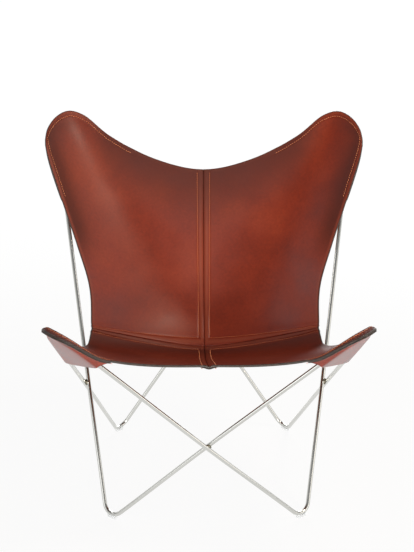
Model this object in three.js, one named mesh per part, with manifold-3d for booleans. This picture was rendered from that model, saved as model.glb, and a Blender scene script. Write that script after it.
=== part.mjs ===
// A butterfly sling chair: two crossed loops of round steel rod carry a leather sling by its four corners.
// Millimetres, +Z up, the sitter faces -Y, the floor is at Z = 0.
import * as THREE from "three";
import { mergeVertices } from "three/addons/utils/BufferGeometryUtils.js";
import Module from "manifold-3d";

const wasm = await Module();
wasm.setup();

// Frame: spreads, reaches and heights are measured to the corners before the rod is bent round
const rodDiameter = 10;
const frontFootSpread = 470;
const rearFootSpread = 458;
const footprintDepth = 529;
const seatTipSpread = 720;
const seatTipReach = 165; // ahead of the front feet
const seatTipHeight = 546;
const topTipSpread = 776;
const topTipReach = 31; // behind the rear feet
const topTipHeight = 908;
const footBendRadius = 30;
const seatBendRadius = 45;
const topBendRadius = 38;
const fitGap = 0.3; // between pieces that touch

// Welds and glides
const crossWeldReach = 8;
const crossWeldDepth = 4.5;
const tipWeldBead = 1.3;
const tipWeldLength = 4;
const glideThickness = 3;
const glideLength = 26;
const glideWidth = 13;
const glideGrip = 4; // how far the glide's cheeks rise beside the rod

// Sling
const leatherThickness = 4;
const patchThickness = 3;
const stripThickness = 2;
const threadDiameter = 1.2;
const seamGap = 0.6;
const seamStitchInset = 14;
const edgeStitchInset = 10;
const backHemDrop = 4; // the rim bends back to the pocket behind it
const seatHemDrop = 7;

// Back panel, seen from the front
const backCentreHeight = 717;
const backSetback = 7; // the top edge lies this far ahead of the top corners
const backLean = 0.36; // depth gained for each millimetre of height
const backEdgeCurve = 1.5;
const seamCentreHeight = 310;
const seamEndHeight = 390;
const seamHalfWidth = 278;
const seamCurve = 1.6;
const creaseDepth = 60;
const creaseLength = 33;
const wingBlendLow = 100;
const wingBlendHigh = 28;
const wingCentreEase = 80;
const wingTopInset = 9;
const wingTopRise = 35;
const wingShoulderOut = 24;
const wingShoulderRise = 18;
const wingCornerOut = 39;
const wingCornerDrop = 22;

// Seat panel, seen from above
const seatFrontHeight = 421;
const seatFrontSetback = 60; // behind the seat corners
const seatFrontRise = 0.5; // how soon the front edge climbs from its middle to the wing
const seatFrontCurve = 1.4;
const seatRiseCentre = 30;
const seatRiseEnd = 54;
const seatCreaseCentre = 40;
const seatCreaseEnd = 25;
const seatBlend = 10;
const notchInset = 11; // the notch lies this far inside the rod beside it
const notchLead = 24; // ahead of the seam's end
const seatTipOverhang = 13; // leather past the bend of the rod, beyond its surface
const sideInset = 30; // the side edge at its narrowest, inside the rod
const wingOverhang = 20; // and at the wing, outside the rod

// Outline points between the named corners
const topEdgeBends = [[0.35, 0.175], [0.69, 0.574], [0.888, 0.93]]; // shares across and up to the wing's top
const sideInsets = [[0.2, 1], [0.42, 0.5]]; // share of the height, share of the inset
const sideOverhang = [0.72, 0.5];
const frontEdgeBends = [[0.38, 0.667], [0.66, 0.33]]; // shares across, and of the setback
const seatTipTurns = [0.95, 0.72, 0.48]; // round the bend of the rod
const seatCornerTurn = 0.25;
const seamBlend = 9; // the side's first ninth closes up to the seam
const frontRiseLate = 5;
const frontRiseEarly = 2;

// Pockets: each ends at a grid line of its panel
const backPocketColumn = 4;
const backPocketRow = 9;
const seatPocketColumn = 5;
const seatPocketRow = 6;
const backPocketReach = [165, 185]; // along the rear and the front rod, from the middle of the bend
const seatPocketReach = [115, 215];
const pocketSlack = 0.9; // between rod and panel
const patchSlack = 5.5; // between rod and pocket
const pocketShoulder = [0.95, 0.25]; // of its stand, beside the rod and behind it
const rimGap = 1.1;

// Fineness of the curved pieces
const rodSides = 12;
const bendRings = 9;
const runRings = 9;
const panelColumns = 11;
const backRows = 16;
const seatRows = 13;
const patchColumns = 11;
const threadSides = 5;
const slopeStep = 0.5;
const tipCrowding = 1.35;
const pocketTip = 0.2; // share of the bend that the tip row takes
const pocketBendRows = [0.28, 0.52, 0.76, 1]; // shares of the bend
const pocketRunRows = [0.25, 0.5, 0.75, 1]; // and of the straight run behind it
const threadStart = 0.2;

const rodRadius = rodDiameter / 2;
const halfLeather = leatherThickness / 2;
const halfSeam = seamGap / 2;
const threadRadius = threadDiameter / 2;

const steel = { color: 0xc4c4c0, metalness: 1, roughness: 0.24 };
const weldSteel = { color: 0x9a9a8e, metalness: 1, roughness: 0.42 };
const clearPlastic = { color: 0xe4e6e6, metalness: 0, roughness: 0.2 };
const saddleLeather = { color: 0x7c3a28, metalness: 0, roughness: 0.48 };
const fleshLeather = { color: 0x6a3a28, metalness: 0, roughness: 0.85 };
const orangeThread = { color: 0xc8643c, metalness: 0, roughness: 0.7 };

const chair = new THREE.Group();

function add(name, geometry, look) {
  const mesh = new THREE.Mesh(geometry, new THREE.MeshStandardMaterial(look));
  mesh.name = name;
  chair.add(mesh);
}

const point = (x, y, z) => new THREE.Vector3(x, y, z);
const between = (a, b, share) => new THREE.Vector3().lerpVectors(a, b, share);
const moved = (a, direction, length) => a.clone().addScaledVector(direction, length);
const mix = THREE.MathUtils.lerp;

// Solids for cuts and joins

function toSolid(geometry) {
  const bare = geometry.clone();
  bare.deleteAttribute("normal");
  bare.deleteAttribute("uv");
  const merged = mergeVertices(bare, 1e-3);
  const vertProperties = new Float32Array(merged.attributes.position.array);
  const triVerts = new Uint32Array(merged.index.array);
  return new wasm.Manifold(new wasm.Mesh({ numProp: 3, vertProperties, triVerts }));
}

function toGeometry(solid) {
  const mesh = solid.getMesh();
  const geometry = new THREE.BufferGeometry();
  geometry.setAttribute("position", new THREE.BufferAttribute(mesh.vertProperties, 3));
  geometry.setIndex(new THREE.BufferAttribute(mesh.triVerts, 1));
  geometry.computeVertexNormals();
  return geometry;
}

// Rods

class RingPath extends THREE.Curve {
  constructor(rings, ends) {
    super();
    this.rings = rings;
    this.ends = ends;
  }
  getPoint(share) {
    const last = this.rings.length - 1;
    const at = Math.min(Math.floor(share * last + 1e-6), last - 1);
    return between(this.rings[at], this.rings[at + 1], share * last - at);
  }
  getPointAt(share) {
    return this.getPoint(share);
  }
  getTangentAt(share) {
    const last = this.rings.length - 1;
    const at = Math.round(share * last);
    if (this.ends && at === 0) return this.ends[0].clone();
    if (this.ends && at === last) return this.ends[1].clone();
    const before = this.rings[Math.max(at - 1, 0)];
    const after = this.rings[Math.min(at + 1, last)];
    return after.clone().sub(before).normalize();
  }
}

function roundSection(radius, sides) {
  const section = new THREE.Shape();
  for (let side = 0; side < sides; side++) {
    const angle = (2 * Math.PI * side) / sides;
    const x = radius * Math.cos(angle);
    const y = radius * Math.sin(angle);
    if (side === 0) section.moveTo(x, y);
    else section.lineTo(x, y);
  }
  section.closePath();
  return section;
}

function tube(rings, radius, sides, ends) {
  const settings = { steps: rings.length - 1, extrudePath: new RingPath(rings, ends) };
  return new THREE.ExtrudeGeometry(roundSection(radius, sides), settings);
}

// The arc that rounds a corner between two runs of rod
function bend(corner, endA, endB, radius) {
  const toA = endA.clone().sub(corner).normalize();
  const toB = endB.clone().sub(corner).normalize();
  const half = toA.angleTo(toB) / 2;
  const inward = toA.clone().add(toB).normalize();
  const along = toB.clone().sub(toA).normalize();
  const centre = moved(corner, inward, radius / Math.sin(half));
  const sweep = Math.PI / 2 - half;
  const arc = (share) => {
    const angle = sweep * (2 * share - 1);
    return moved(moved(centre, inward, -radius * Math.cos(angle)), along, radius * Math.sin(angle));
  };
  const normal = new THREE.Vector3().crossVectors(toA, toB).normalize();
  const lowest = centre.z - radius * Math.sqrt(1 - normal.z ** 2);
  const tangent = radius / Math.tan(half);
  return { arc, normal, inward, along, lowest, radius, sweep, tangent, apex: arc(0.5) };
}

// A foot's corner lies under the floor, as deep as its bend needs for the rod to stand on the glide
function footCorner(x, y, tipA, tipB) {
  const corner = point(x, y, 0);
  for (let pass = 0; pass < 4; pass++) {
    const drop = bend(corner, tipA, tipB, footBendRadius).lowest - corner.z;
    corner.z = glideThickness + fitGap + rodRadius - drop;
  }
  return corner;
}

const frontFootY = -footprintDepth / 2;
const rearFootY = footprintDepth / 2;
const top = { left: point(-topTipSpread / 2, rearFootY + topTipReach, topTipHeight) };
const seat = { left: point(-seatTipSpread / 2, frontFootY - seatTipReach, seatTipHeight) };
const mirrored = (p) => point(-p.x, p.y, p.z);
top.right = mirrored(top.left);
seat.right = mirrored(seat.left);
const front = { left: footCorner(-frontFootSpread / 2, frontFootY, top.left, seat.right) };
const rear = { left: footCorner(-rearFootSpread / 2, rearFootY, top.right, seat.left) };
front.right = mirrored(front.left);
rear.right = mirrored(rear.left);

// Where two runs cross, each springs aside so that the rods lie one above the other and just touch
function crossing(a, b, towardsB) {
  const dirA = a[1].clone().sub(a[0]);
  const dirB = b[1].clone().sub(b[0]);
  const normal = new THREE.Vector3().crossVectors(dirA, dirB).normalize();
  if (normal.dot(towardsB) < 0) normal.negate();
  const gap = b[0].clone().sub(a[0]);
  const [aa, ab, bb] = [dirA.dot(dirA), dirA.dot(dirB), dirB.dot(dirB)];
  const [ga, gb] = [gap.dot(dirA), gap.dot(dirB)];
  const shareA = (ga * bb - gb * ab) / (aa * bb - ab * ab);
  const shareB = (ga * ab - gb * aa) / (aa * bb - ab * ab);
  const apart = rodDiameter + fitGap - gap.dot(normal);
  const onA = moved(between(a[0], a[1], shareA), normal, -apart / 2);
  const onB = moved(between(b[0], b[1], shareB), normal, apart / 2);
  return {
    a: { share: shareA, push: normal.clone().multiplyScalar(-apart / 2) },
    b: { share: shareB, push: normal.clone().multiplyScalar(apart / 2) },
    centre: between(onA, onB, 0.5),
    normal,
    dirA: dirA.normalize(),
    dirB: dirB.normalize(),
  };
}

const forwards = point(0, -1, 0);
const crossings = {
  front: crossing([front.left, seat.right], [front.right, seat.left], forwards),
  back: crossing([rear.right, top.left], [rear.left, top.right], forwards),
  left: crossing([front.left, top.left], [rear.left, seat.left], point(-1, 0, 0)),
  right: crossing([front.right, top.right], [rear.right, seat.right], point(1, 0, 0)),
};

// A run leaves the foot's bend at one end and meets the tip's bend at the other
function run(foot, tip, footTangent, tipTangent, sprung) {
  const length = foot.distanceTo(tip);
  const start = footTangent / length;
  const end = 1 - tipTangent / length;
  const rings = [];
  for (let ring = 1; ring < runRings; ring++) {
    const share = mix(start, end, ring / runRings);
    const reach = share < sprung.share ? (share - start) / (sprung.share - start)
      : (end - share) / (end - sprung.share);
    const bow = (1 - Math.cos(Math.PI * reach)) / 2;
    rings.push(moved(between(foot, tip, share), sprung.push, bow));
  }
  return rings;
}

const topBend = {
  left: bend(top.left, front.left, rear.right, topBendRadius),
  right: bend(top.right, front.right, rear.left, topBendRadius),
};
const seatBend = {
  left: bend(seat.left, rear.left, front.right, seatBendRadius),
  right: bend(seat.right, rear.right, front.left, seatBendRadius),
};

const arcRings = (curve, from, to, count) =>
  Array.from({ length: count + 1 }, (_, ring) => curve.arc(mix(from, to, ring / count)));

// One bent rod: from the top tip down to its foot and up to the seat tip, half of each tip's bend included
function leg(foot, topTip, seatTip, topCurve, seatCurve, topFirst, sprungTop, sprungSeat) {
  const footCurve = bend(foot, topTip, seatTip, footBendRadius);
  const butt = fitGap / 2;
  const trimTop = butt / (topCurve.arc(0).distanceTo(topCurve.arc(1)));
  const trimSeat = butt / (seatCurve.arc(0).distanceTo(seatCurve.arc(1)));
  const half = Math.ceil(bendRings / 2);
  const middle = 0.5;
  const topArc = topFirst ? arcRings(topCurve, middle - trimTop, 0, half)
    : arcRings(topCurve, middle + trimTop, 1, half);
  const seatArc = topFirst ? arcRings(seatCurve, 1, middle + trimSeat, half)
    : arcRings(seatCurve, 0, middle - trimSeat, half);
  const rings = [
    ...topArc,
    ...run(foot, topTip, footCurve.tangent, topCurve.tangent, sprungTop).reverse(),
    ...arcRings(footCurve, 0, 1, bendRings),
    ...run(foot, seatTip, footCurve.tangent, seatCurve.tangent, sprungSeat),
    ...seatArc,
  ];
  const out = topFirst ? -1 : 1;
  const ends = [topCurve.along.clone().multiplyScalar(out), seatCurve.along.clone().multiplyScalar(out)];
  return { rings, ends, footCurve };
}

const legs = {
  front_left: leg(front.left, top.left, seat.right, topBend.left, seatBend.right, true,
    crossings.left.a, crossings.front.a),
  front_right: leg(front.right, top.right, seat.left, topBend.right, seatBend.left, true,
    crossings.right.a, crossings.front.b),
  rear_left: leg(rear.left, top.right, seat.left, topBend.right, seatBend.left, false,
    crossings.back.b, crossings.left.b),
  rear_right: leg(rear.right, top.left, seat.right, topBend.left, seatBend.right, false,
    crossings.back.a, crossings.right.b),
};

for (const [name, { rings, ends }] of Object.entries(legs)) {
  add(`leg_${name}`, tube(rings, rodRadius, rodSides, ends), steel);
}

// Welds

function turnedFrom(axis, direction) {
  return new THREE.Quaternion().setFromUnitVectors(axis, direction);
}

function rodCutter(centre, direction) {
  const radius = rodRadius + fitGap;
  const cutter = new THREE.CylinderGeometry(radius, radius, 4 * crossWeldReach, 2 * rodSides);
  cutter.applyQuaternion(turnedFrom(point(0, 1, 0), direction));
  cutter.translate(centre.x, centre.y, centre.z);
  return toSolid(cutter);
}

// A crossing's weld is a flat bead round the point where the two rods touch
function crossWeld({ centre, normal, dirA, dirB }) {
  const bead = new THREE.SphereGeometry(1, rodSides, rodSides / 2);
  bead.scale(crossWeldReach, crossWeldReach, crossWeldDepth);
  bead.applyQuaternion(turnedFrom(point(0, 0, 1), normal));
  bead.translate(centre.x, centre.y, centre.z);
  const aside = (rodDiameter + fitGap) / 2;
  const cut = toSolid(bead)
    .subtract(rodCutter(moved(centre, normal, -aside), dirA))
    .subtract(rodCutter(moved(centre, normal, aside), dirB));
  return toGeometry(cut);
}

for (const [name, cross] of Object.entries(crossings)) {
  add(`weld_${name}_crossing`, crossWeld(cross), weldSteel);
}

// A tip's weld is a bead round the butt joint in the middle of the bend, inside the pocket
function tipWeld(curve) {
  const inner = rodRadius + fitGap;
  const half = tipWeldLength / 2;
  const profile = [
    new THREE.Vector2(inner, -half),
    new THREE.Vector2(inner + tipWeldBead, -half / 2),
    new THREE.Vector2(inner + tipWeldBead, half / 2),
    new THREE.Vector2(inner, half),
    new THREE.Vector2(inner, -half),
  ];
  const bead = new THREE.LatheGeometry(profile, 2 * rodSides);
  bead.applyQuaternion(turnedFrom(point(0, 1, 0), curve.along));
  bead.translate(curve.apex.x, curve.apex.y, curve.apex.z);
  return bead;
}

for (const side of ["left", "right"]) {
  add(`weld_top_tip_${side}`, tipWeld(topBend[side]), weldSteel);
  add(`weld_seat_tip_${side}`, tipWeld(seatBend[side]), weldSteel);
}

// Glides

function glide({ footCurve }) {
  const bendRun = arcRings(footCurve, 0, 1, bendRings);
  const lowest = arcRings(footCurve, 0, 1, 8 * bendRings).reduce((a, b) => (b.z < a.z ? b : a));
  const heading = footCurve.along.clone().setZ(0).normalize();
  const outline = new THREE.Shape();
  const round = glideWidth / 2;
  const straight = glideLength / 2 - round;
  outline.absarc(straight, 0, round, -Math.PI / 2, Math.PI / 2);
  outline.absarc(-straight, 0, round, Math.PI / 2, (3 * Math.PI) / 2);
  const height = glideThickness + glideGrip;
  const settings = { depth: height, bevelEnabled: false, curveSegments: 8 };
  const block = new THREE.ExtrudeGeometry(outline, settings);
  block.applyQuaternion(turnedFrom(point(1, 0, 0), heading));
  block.translate(lowest.x, lowest.y, 0);
  const channel = toSolid(tube(bendRun, rodRadius + fitGap, rodSides));
  return toGeometry(toSolid(block).subtract(channel));
}

for (const [name, bent] of Object.entries(legs)) {
  add(`glide_${name}`, glide(bent), clearPlastic);
}

// Sling surfaces, drawn for the right half and mirrored for the left

const softMin = (a, b, blend) => (a + b - Math.hypot(a - b, blend)) / 2;
const softMax = (a, b, blend) => (a + b + Math.hypot(a - b, blend)) / 2;
const eased = (x) => Math.hypot(x, wingCentreEase) - wingCentreEase;

const rodToLeather = rodRadius + pocketSlack + halfLeather;
const topPlane = topBend.right.normal.clone();
if (topPlane.y > 0) topPlane.negate();
const seatPlane = seatBend.right.normal.clone();
if (seatPlane.z < 0) seatPlane.negate();
const topApex = topBend.right.apex;
const seatApex = seatBend.right.apex;
const wingTop = point(topApex.x - wingTopInset, 0, topApex.z + wingTopRise);
const wingShoulder = point(topApex.x + wingShoulderOut, 0, topApex.z + wingShoulderRise);
const wingCorner = point(topApex.x + wingCornerOut, 0, topApex.z - wingCornerDrop);
const backTopY = top.right.y - backSetback;
const sideRod = (z) => between(top.right, front.right, (top.right.z - z) / (top.right.z - front.right.z));

const seamHeight = (x) => mix(seamCentreHeight, seamEndHeight, (x / seamHalfWidth) ** seamCurve);
const topEdgeHeight = (x) => mix(backCentreHeight, wingTop.z, (x / wingTop.x) ** backEdgeCurve);

// Depth of the back's middle surface: it hangs from the top edge, rounds into the seat, and its wings
// lie on the plane of the two rods that meet in the pocket
function backDepth(x, z) {
  const height = (z - seamHeight(x)) / creaseLength;
  const hung = backTopY - backLean * (topEdgeHeight(x) - z) - creaseDepth * Math.exp(-height);
  const rise = rodToLeather - topPlane.x * (eased(x) - eased(topApex.x)) - topPlane.z * (z - topApex.z);
  const wing = topApex.y + rise / topPlane.y;
  const climb = THREE.MathUtils.clamp((z - seamCentreHeight) / (topApex.z - seamCentreHeight), 0, 1);
  return softMin(hung, wing, mix(wingBlendLow, wingBlendHigh, climb));
}

const backPoint = (x, z) => point(x, backDepth(x, z), z);

function backNormal(x, z) {
  const overX = (backDepth(x + slopeStep, z) - backDepth(Math.abs(x - slopeStep), z)) / (2 * slopeStep);
  const overZ = (backDepth(x, z + slopeStep) - backDepth(x, z - slopeStep)) / (2 * slopeStep);
  return point(x < slopeStep ? 0 : overX, -1, overZ).normalize();
}

const seamDepth = (x) => backDepth(x, seamHeight(x));

const frontDepth = (x) => seat.right.y + seatFrontSetback * (1 - (x / seat.right.x) ** seatFrontCurve);
const seatTipCentre = moved(seatApex, seatBend.right.inward, seatBendRadius);
const roundSeatTip = (share) => {
  const out = seatBend.right.arc(share).sub(seatTipCentre).normalize();
  return moved(seatTipCentre, out, seatBendRadius + rodRadius + seatTipOverhang);
};
const seatTipOut = roundSeatTip(0.5);
const seatCorner = roundSeatTip(seatCornerTurn).setZ(0);

function frontHeight(x) {
  const share = x / seatTipOut.x;
  const gentle = mix(share ** frontRiseLate, share ** frontRiseEarly, seatFrontRise);
  return mix(seatFrontHeight, seatTipOut.z, gentle);
}

// Height of the seat's middle surface: it falls back from the front edge, turns up into the back along
// the crease, and its wings lie on the plane of the two rods that meet in the pocket
function seatHeight(x, y) {
  const share = x / seamHalfWidth;
  const rise = mix(seatRiseCentre, seatRiseEnd, share);
  const length = mix(seatCreaseCentre, seatCreaseEnd, Math.min(share, 1));
  const back = seamDepth(x);
  const slope = (frontHeight(x) + rise - seamHeight(x)) / (back - frontDepth(x));
  const turn = rise * Math.exp(Math.min((y - back) / length, 1));
  const hung = frontHeight(x) - slope * (y - frontDepth(x)) + turn;
  const over = rodToLeather - seatPlane.x * (x - seatApex.x) - seatPlane.y * (y - seatApex.y);
  return softMax(hung, seatApex.z + over / seatPlane.z, seatBlend);
}

const seatPoint = (x, y) => point(x, y, seatHeight(x, y));

function seatNormal(x, y) {
  const overX = (seatHeight(x + slopeStep, y) - seatHeight(Math.abs(x - slopeStep), y)) / (2 * slopeStep);
  const overY = (seatHeight(x, y + slopeStep) - seatHeight(x, y - slopeStep)) / (2 * slopeStep);
  return point(x < slopeStep ? 0 : -overX, -overY, 1).normalize();
}

// Outlines of the right half: the back's as seen from the front, the seat's as seen from above

const onTopEdge = (across, up) => point(wingTop.x * across, 0, mix(backCentreHeight, wingTop.z, up));
const topEdge = new THREE.CatmullRomCurve3([
  point(halfSeam, 0, backCentreHeight),
  ...topEdgeBends.map(([across, up]) => onTopEdge(across, up)),
  wingTop,
  wingShoulder,
  wingCorner,
]);

function besideRod(share, outwards) {
  const z = mix(seamEndHeight, wingCorner.z, share);
  return point(sideRod(z).x + outwards, 0, z);
}

const sideEdge = new THREE.CatmullRomCurve3([
  point(seamHalfWidth, 0, seamEndHeight),
  ...sideInsets.map(([height, inset]) => besideRod(height, -sideInset * inset)),
  besideRod(sideOverhang[0], wingOverhang * sideOverhang[1]),
  wingCorner,
]);

const onFrontEdge = (across, back) => point(seatTipOut.x * across, seat.right.y + seatFrontSetback * back, 0);
const frontEdge = new THREE.CatmullRomCurve3([
  onFrontEdge(halfSeam / seatTipOut.x, 1),
  ...frontEdgeBends.map(([across, back]) => onFrontEdge(across, back)),
  ...seatTipTurns.map((turn) => roundSeatTip(turn).setZ(0)),
  seatCorner,
]);

const seamEnd = point(seamHalfWidth, seamDepth(seamHalfWidth), 0);
const notchY = seamEnd.y - notchLead;
const notchShare = (top.right.y - notchY) / (top.right.y - front.right.y);
const notch = point(between(top.right, front.right, notchShare).x - notchInset, notchY, 0);
const wingEdge = new THREE.CatmullRomCurve3([
  seamEnd,
  notch,
  between(notch, seatCorner, 0.5),
  seatCorner,
]);

const seamLine = (share) => mix(halfSeam, seamHalfWidth, share);
const fromSeam = (share) => Math.min(share * seamBlend, 1);

// A sheet of four edges: positions between them, with its rows and columns drawn in to the stitch lines
function patchwork(bottom, topSide, left, right) {
  const [a, b, c, d] = [bottom(0), bottom(1), topSide(0), topSide(1)];
  return (u, v) => {
    const p = moved(bottom(u).multiplyScalar(1 - v), topSide(u), v);
    p.addScaledVector(left(v), 1 - u).addScaledVector(right(v), u);
    p.addScaledVector(a, -(1 - u) * (1 - v)).addScaledVector(b, -u * (1 - v));
    return p.addScaledVector(c, -(1 - u) * v).addScaledVector(d, -u * v);
  };
}

// Grid lines crowd towards the wing's tip
const spaced = (index, count, first, last) => {
  if (index === 0) return 0;
  if (index === count) return 1;
  return mix(first, 1 - last, 1 - (1 - (index - 1) / (count - 2)) ** tipCrowding);
};

function panelGrid(place, rows, lift) {
  const grid = [];
  for (let column = 0; column <= panelColumns; column++) {
    const line = [];
    for (let row = 0; row <= rows; row++) {
      const [u, v] = [column / panelColumns, row / rows];
      const width = place(0, v).distanceTo(place(1, v));
      const length = place(u, 0).distanceTo(place(u, 1));
      const across = spaced(column, panelColumns, seamStitchInset / width, edgeStitchInset / width);
      const along = spaced(row, rows, seamStitchInset / length, edgeStitchInset / length);
      line.push(lift(place(across, along), column, row));
    }
    grid.push(line);
  }
  return grid;
}

const backPlace = patchwork(
  (u) => point(seamLine(u), 0, seamHeight(seamLine(u)) + halfSeam),
  (u) => topEdge.getPointAt(u).setY(0),
  (v) => point(halfSeam, 0, mix(seamHeight(halfSeam) + halfSeam, backCentreHeight, v)),
  (v) => {
    const p = sideEdge.getPointAt(v).setY(0);
    return p.setZ(mix(seamEndHeight + halfSeam, p.z, fromSeam(v)));
  },
);
const seatPlace = patchwork(
  (u) => point(seamLine(u), seamDepth(seamLine(u)) - halfSeam, 0),
  (u) => frontEdge.getPointAt(u),
  (v) => point(halfSeam, mix(seamDepth(halfSeam) - halfSeam, frontEdge.getPointAt(0).y, v), 0),
  (v) => {
    const p = wingEdge.getPointAt(v);
    return p.setY(mix(seamEnd.y - halfSeam, p.y, fromSeam(v)));
  },
);

function seamNormal(x) {
  const over = backNormal(x, seamHeight(x)).add(seatNormal(x, seamDepth(x) - halfSeam));
  return over.normalize();
}

const onRim = (column, row, rows, pocketColumn, pocketRow) =>
  (row === rows && column >= pocketColumn) || (column === panelColumns && row >= pocketRow);

const backGrid = panelGrid(backPlace, backRows, (p, column, row) => {
  const normal = row === 0 ? seamNormal(p.x) : backNormal(p.x, p.z);
  const drop = onRim(column, row, backRows, backPocketColumn, backPocketRow) ? backHemDrop : 0;
  return { at: moved(backPoint(p.x, p.z), normal, -drop), normal };
});
const seatGrid = panelGrid(seatPlace, seatRows, (p, column, row) => {
  const normal = row === 0 ? seamNormal(p.x) : seatNormal(p.x, p.y);
  const drop = onRim(column, row, seatRows, seatPocketColumn, seatPocketRow) ? seatHemDrop : 0;
  return { at: moved(seatPoint(p.x, p.y), normal, -drop), normal };
});

// A sheet of leather with thickness, its faces either side of a grid of middle points
function sheet(grid, thickness, side) {
  const columns = grid.length;
  const rows = grid[0].length;
  const flip = side === "left" ? -1 : 1;
  const positions = [];
  for (const half of [thickness / 2, -thickness / 2]) {
    for (const line of grid) {
      for (const { at, normal } of line) {
        const p = moved(at, normal, half);
        positions.push(flip * p.x, p.y, p.z);
      }
    }
  }
  const spot = (face, column, row) => (face * columns + column) * rows + row;
  const index = [];
  const quad = (a, b, c, d) => {
    if (flip > 0) index.push(a, b, c, a, c, d);
    else index.push(a, c, b, a, d, c);
  };
  for (let column = 0; column < columns - 1; column++) {
    for (let row = 0; row < rows - 1; row++) {
      const [right, up] = [column + 1, row + 1];
      quad(spot(0, column, row), spot(0, right, row), spot(0, right, up), spot(0, column, up));
      quad(spot(1, right, up), spot(1, right, row), spot(1, column, row), spot(1, column, up));
    }
  }
  for (let column = 0; column < columns - 1; column++) {
    const last = rows - 1;
    quad(spot(0, column, 0), spot(1, column, 0), spot(1, column + 1, 0), spot(0, column + 1, 0));
    quad(spot(0, column, last), spot(0, column + 1, last), spot(1, column + 1, last), spot(1, column, last));
  }
  for (let row = 0; row < rows - 1; row++) {
    const last = columns - 1;
    quad(spot(0, 0, row), spot(0, 0, row + 1), spot(1, 0, row + 1), spot(1, 0, row));
    quad(spot(0, last, row), spot(1, last, row), spot(1, last, row + 1), spot(0, last, row + 1));
  }
  const geometry = new THREE.BufferGeometry();
  geometry.setAttribute("position", new THREE.Float32BufferAttribute(positions, 3));
  geometry.setIndex(index);
  geometry.computeVertexNormals();
  return geometry;
}

const seatOut = seatGrid.map((line) => [...line].reverse());

for (const side of ["left", "right"]) {
  add(`back_panel_${side}`, sheet(backGrid, leatherThickness, side), saddleLeather);
  add(`seat_panel_${side}`, sheet(seatOut, leatherThickness, side), saddleLeather);
}

// Pockets: a second sheet behind each tip, stitched to the panel's rim and drawn round both rods

const sunk = ({ at, normal }, depth) => moved(at, normal, -depth);

function alongRod(rings, distance) {
  let left = distance;
  let ring = 1;
  while (rings[ring].distanceTo(rings[ring - 1]) < left) {
    left -= rings[ring].distanceTo(rings[ring - 1]);
    ring += 1;
  }
  const heading = rings[ring].clone().sub(rings[ring - 1]).normalize();
  return { at: moved(rings[ring - 1], heading, left), heading };
}

const runLength = (line) => line.slice(1).reduce((sum, p, step) => sum + p.distanceTo(line[step]), 0);

function rimOf(line) {
  return line.map((spot) => sunk(spot, halfLeather + rimGap + patchThickness / 2));
}

// How far along the rim the line straight out from a point of the rod first meets it
function straightOut(rim, at, heading, out) {
  let length = 0;
  let nearest = { reach: Infinity, place: runLength(rim) };
  for (let step = 1; step < rim.length; step++) {
    const from = rim[step - 1].clone().sub(at);
    const before = from.dot(heading);
    const after = rim[step].clone().sub(at).dot(heading);
    const span = rim[step].distanceTo(rim[step - 1]);
    if (before * after <= 0 && from.dot(out) > 0) {
      const share = before / (before - after);
      const reach = between(rim[step - 1], rim[step], share).distanceTo(at);
      if (reach < nearest.reach) nearest = { reach, place: length + span * share };
    }
    length += span;
  }
  return nearest.place;
}

// A point's normal is the mean of the faces round it
function meanNormal(lines, row, column) {
  const sum = point(0, 0, 0);
  for (const r of [row - 1, row]) {
    for (const c of [column - 1, column]) {
      if (!lines[r]?.[c] || !lines[r + 1]?.[c + 1]) continue;
      const rising = lines[r + 1][c + 1].clone().sub(lines[r][c]);
      const falling = lines[r + 1][c].clone().sub(lines[r][c + 1]);
      sum.add(rising.cross(falling).normalize());
    }
  }
  return sum.normalize();
}

function pocket({ rods, plane, curve, rims, reach }) {
  const stand = rodRadius + patchSlack + patchThickness / 2;
  const rim = [...[...rims[0]].reverse(), ...rims[1].slice(1)];
  const rimEnds = [0, runLength(rim) - slopeStep];
  const bendLength = curve.radius * curve.sweep;
  const onRod = (rod, distance) => {
    const { at, heading } = alongRod(rods[rod], distance);
    const out = new THREE.Vector3().crossVectors(plane, heading).normalize();
    if (out.dot(curve.inward) > 0) out.negate();
    return { at, heading, out };
  };
  const outwards = curve.inward.clone().negate();
  const axis = straightOut(rim, curve.apex, curve.along, outwards);
  const bendEnds = rods.map((_, rod) => {
    const { at, heading, out } = onRod(rod, bendLength);
    return straightOut(rim, at, heading, out);
  });
  const onRim = (place) => alongRod(rim, place).at;
  const tip = Array.from({ length: patchColumns }, (_, column) => {
    const place = 1 - (2 * column) / (patchColumns - 1);
    return onRim(mix(axis, place > 0 ? bendEnds[0] : bendEnds[1], Math.abs(place) * pocketTip));
  });
  const lines = [tip];
  const rows = [
    ...pocketBendRows.map((share) => ({ bent: share, run: 0 })),
    ...pocketRunRows.map((share) => ({ bent: 1, run: share })),
  ];
  for (const { bent, run: straight } of rows) {
    const halves = rods.map((_, rod) => {
      const distance = straight > 0 ? mix(bendLength, reach[rod], straight) : bendLength * bent;
      const { at, out } = onRod(rod, distance);
      const bendPlace = mix(axis, bendEnds[rod], bent);
      const edge = onRim(straight > 0 ? mix(bendEnds[rod], rimEnds[rod], straight) : bendPlace);
      const [aside, back] = pocketShoulder;
      const beside = moved(moved(at, out, stand * aside), plane, -stand * back);
      const turning = moved(at, out.clone().sub(plane).normalize(), stand);
      return [edge, between(edge, beside, 0.5), beside, turning, moved(at, plane, -stand)];
    });
    const [first, second] = halves;
    lines.push([...first, between(first.at(-1), second.at(-1), 0.5), ...second.reverse()]);
  }
  return Array.from({ length: patchColumns }, (_, column) =>
    lines.map((line, row) => ({ at: line[column], normal: meanNormal(lines, row, column) })));
}

const fromRight = (rings, side) => (side === "left" ? rings.map(mirrored) : rings);
const fromSeat = (bent) => [...bent.rings].reverse();
const backRims = [
  rimOf(backGrid.slice(backPocketColumn).map((line) => line[backRows]).reverse()),
  rimOf(backGrid[panelColumns].slice(backPocketRow).reverse()),
];
const seatRims = [
  rimOf(seatGrid.slice(seatPocketColumn).map((line) => line[seatRows]).reverse()),
  rimOf(seatGrid[panelColumns].slice(seatPocketRow).reverse()),
];

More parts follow.
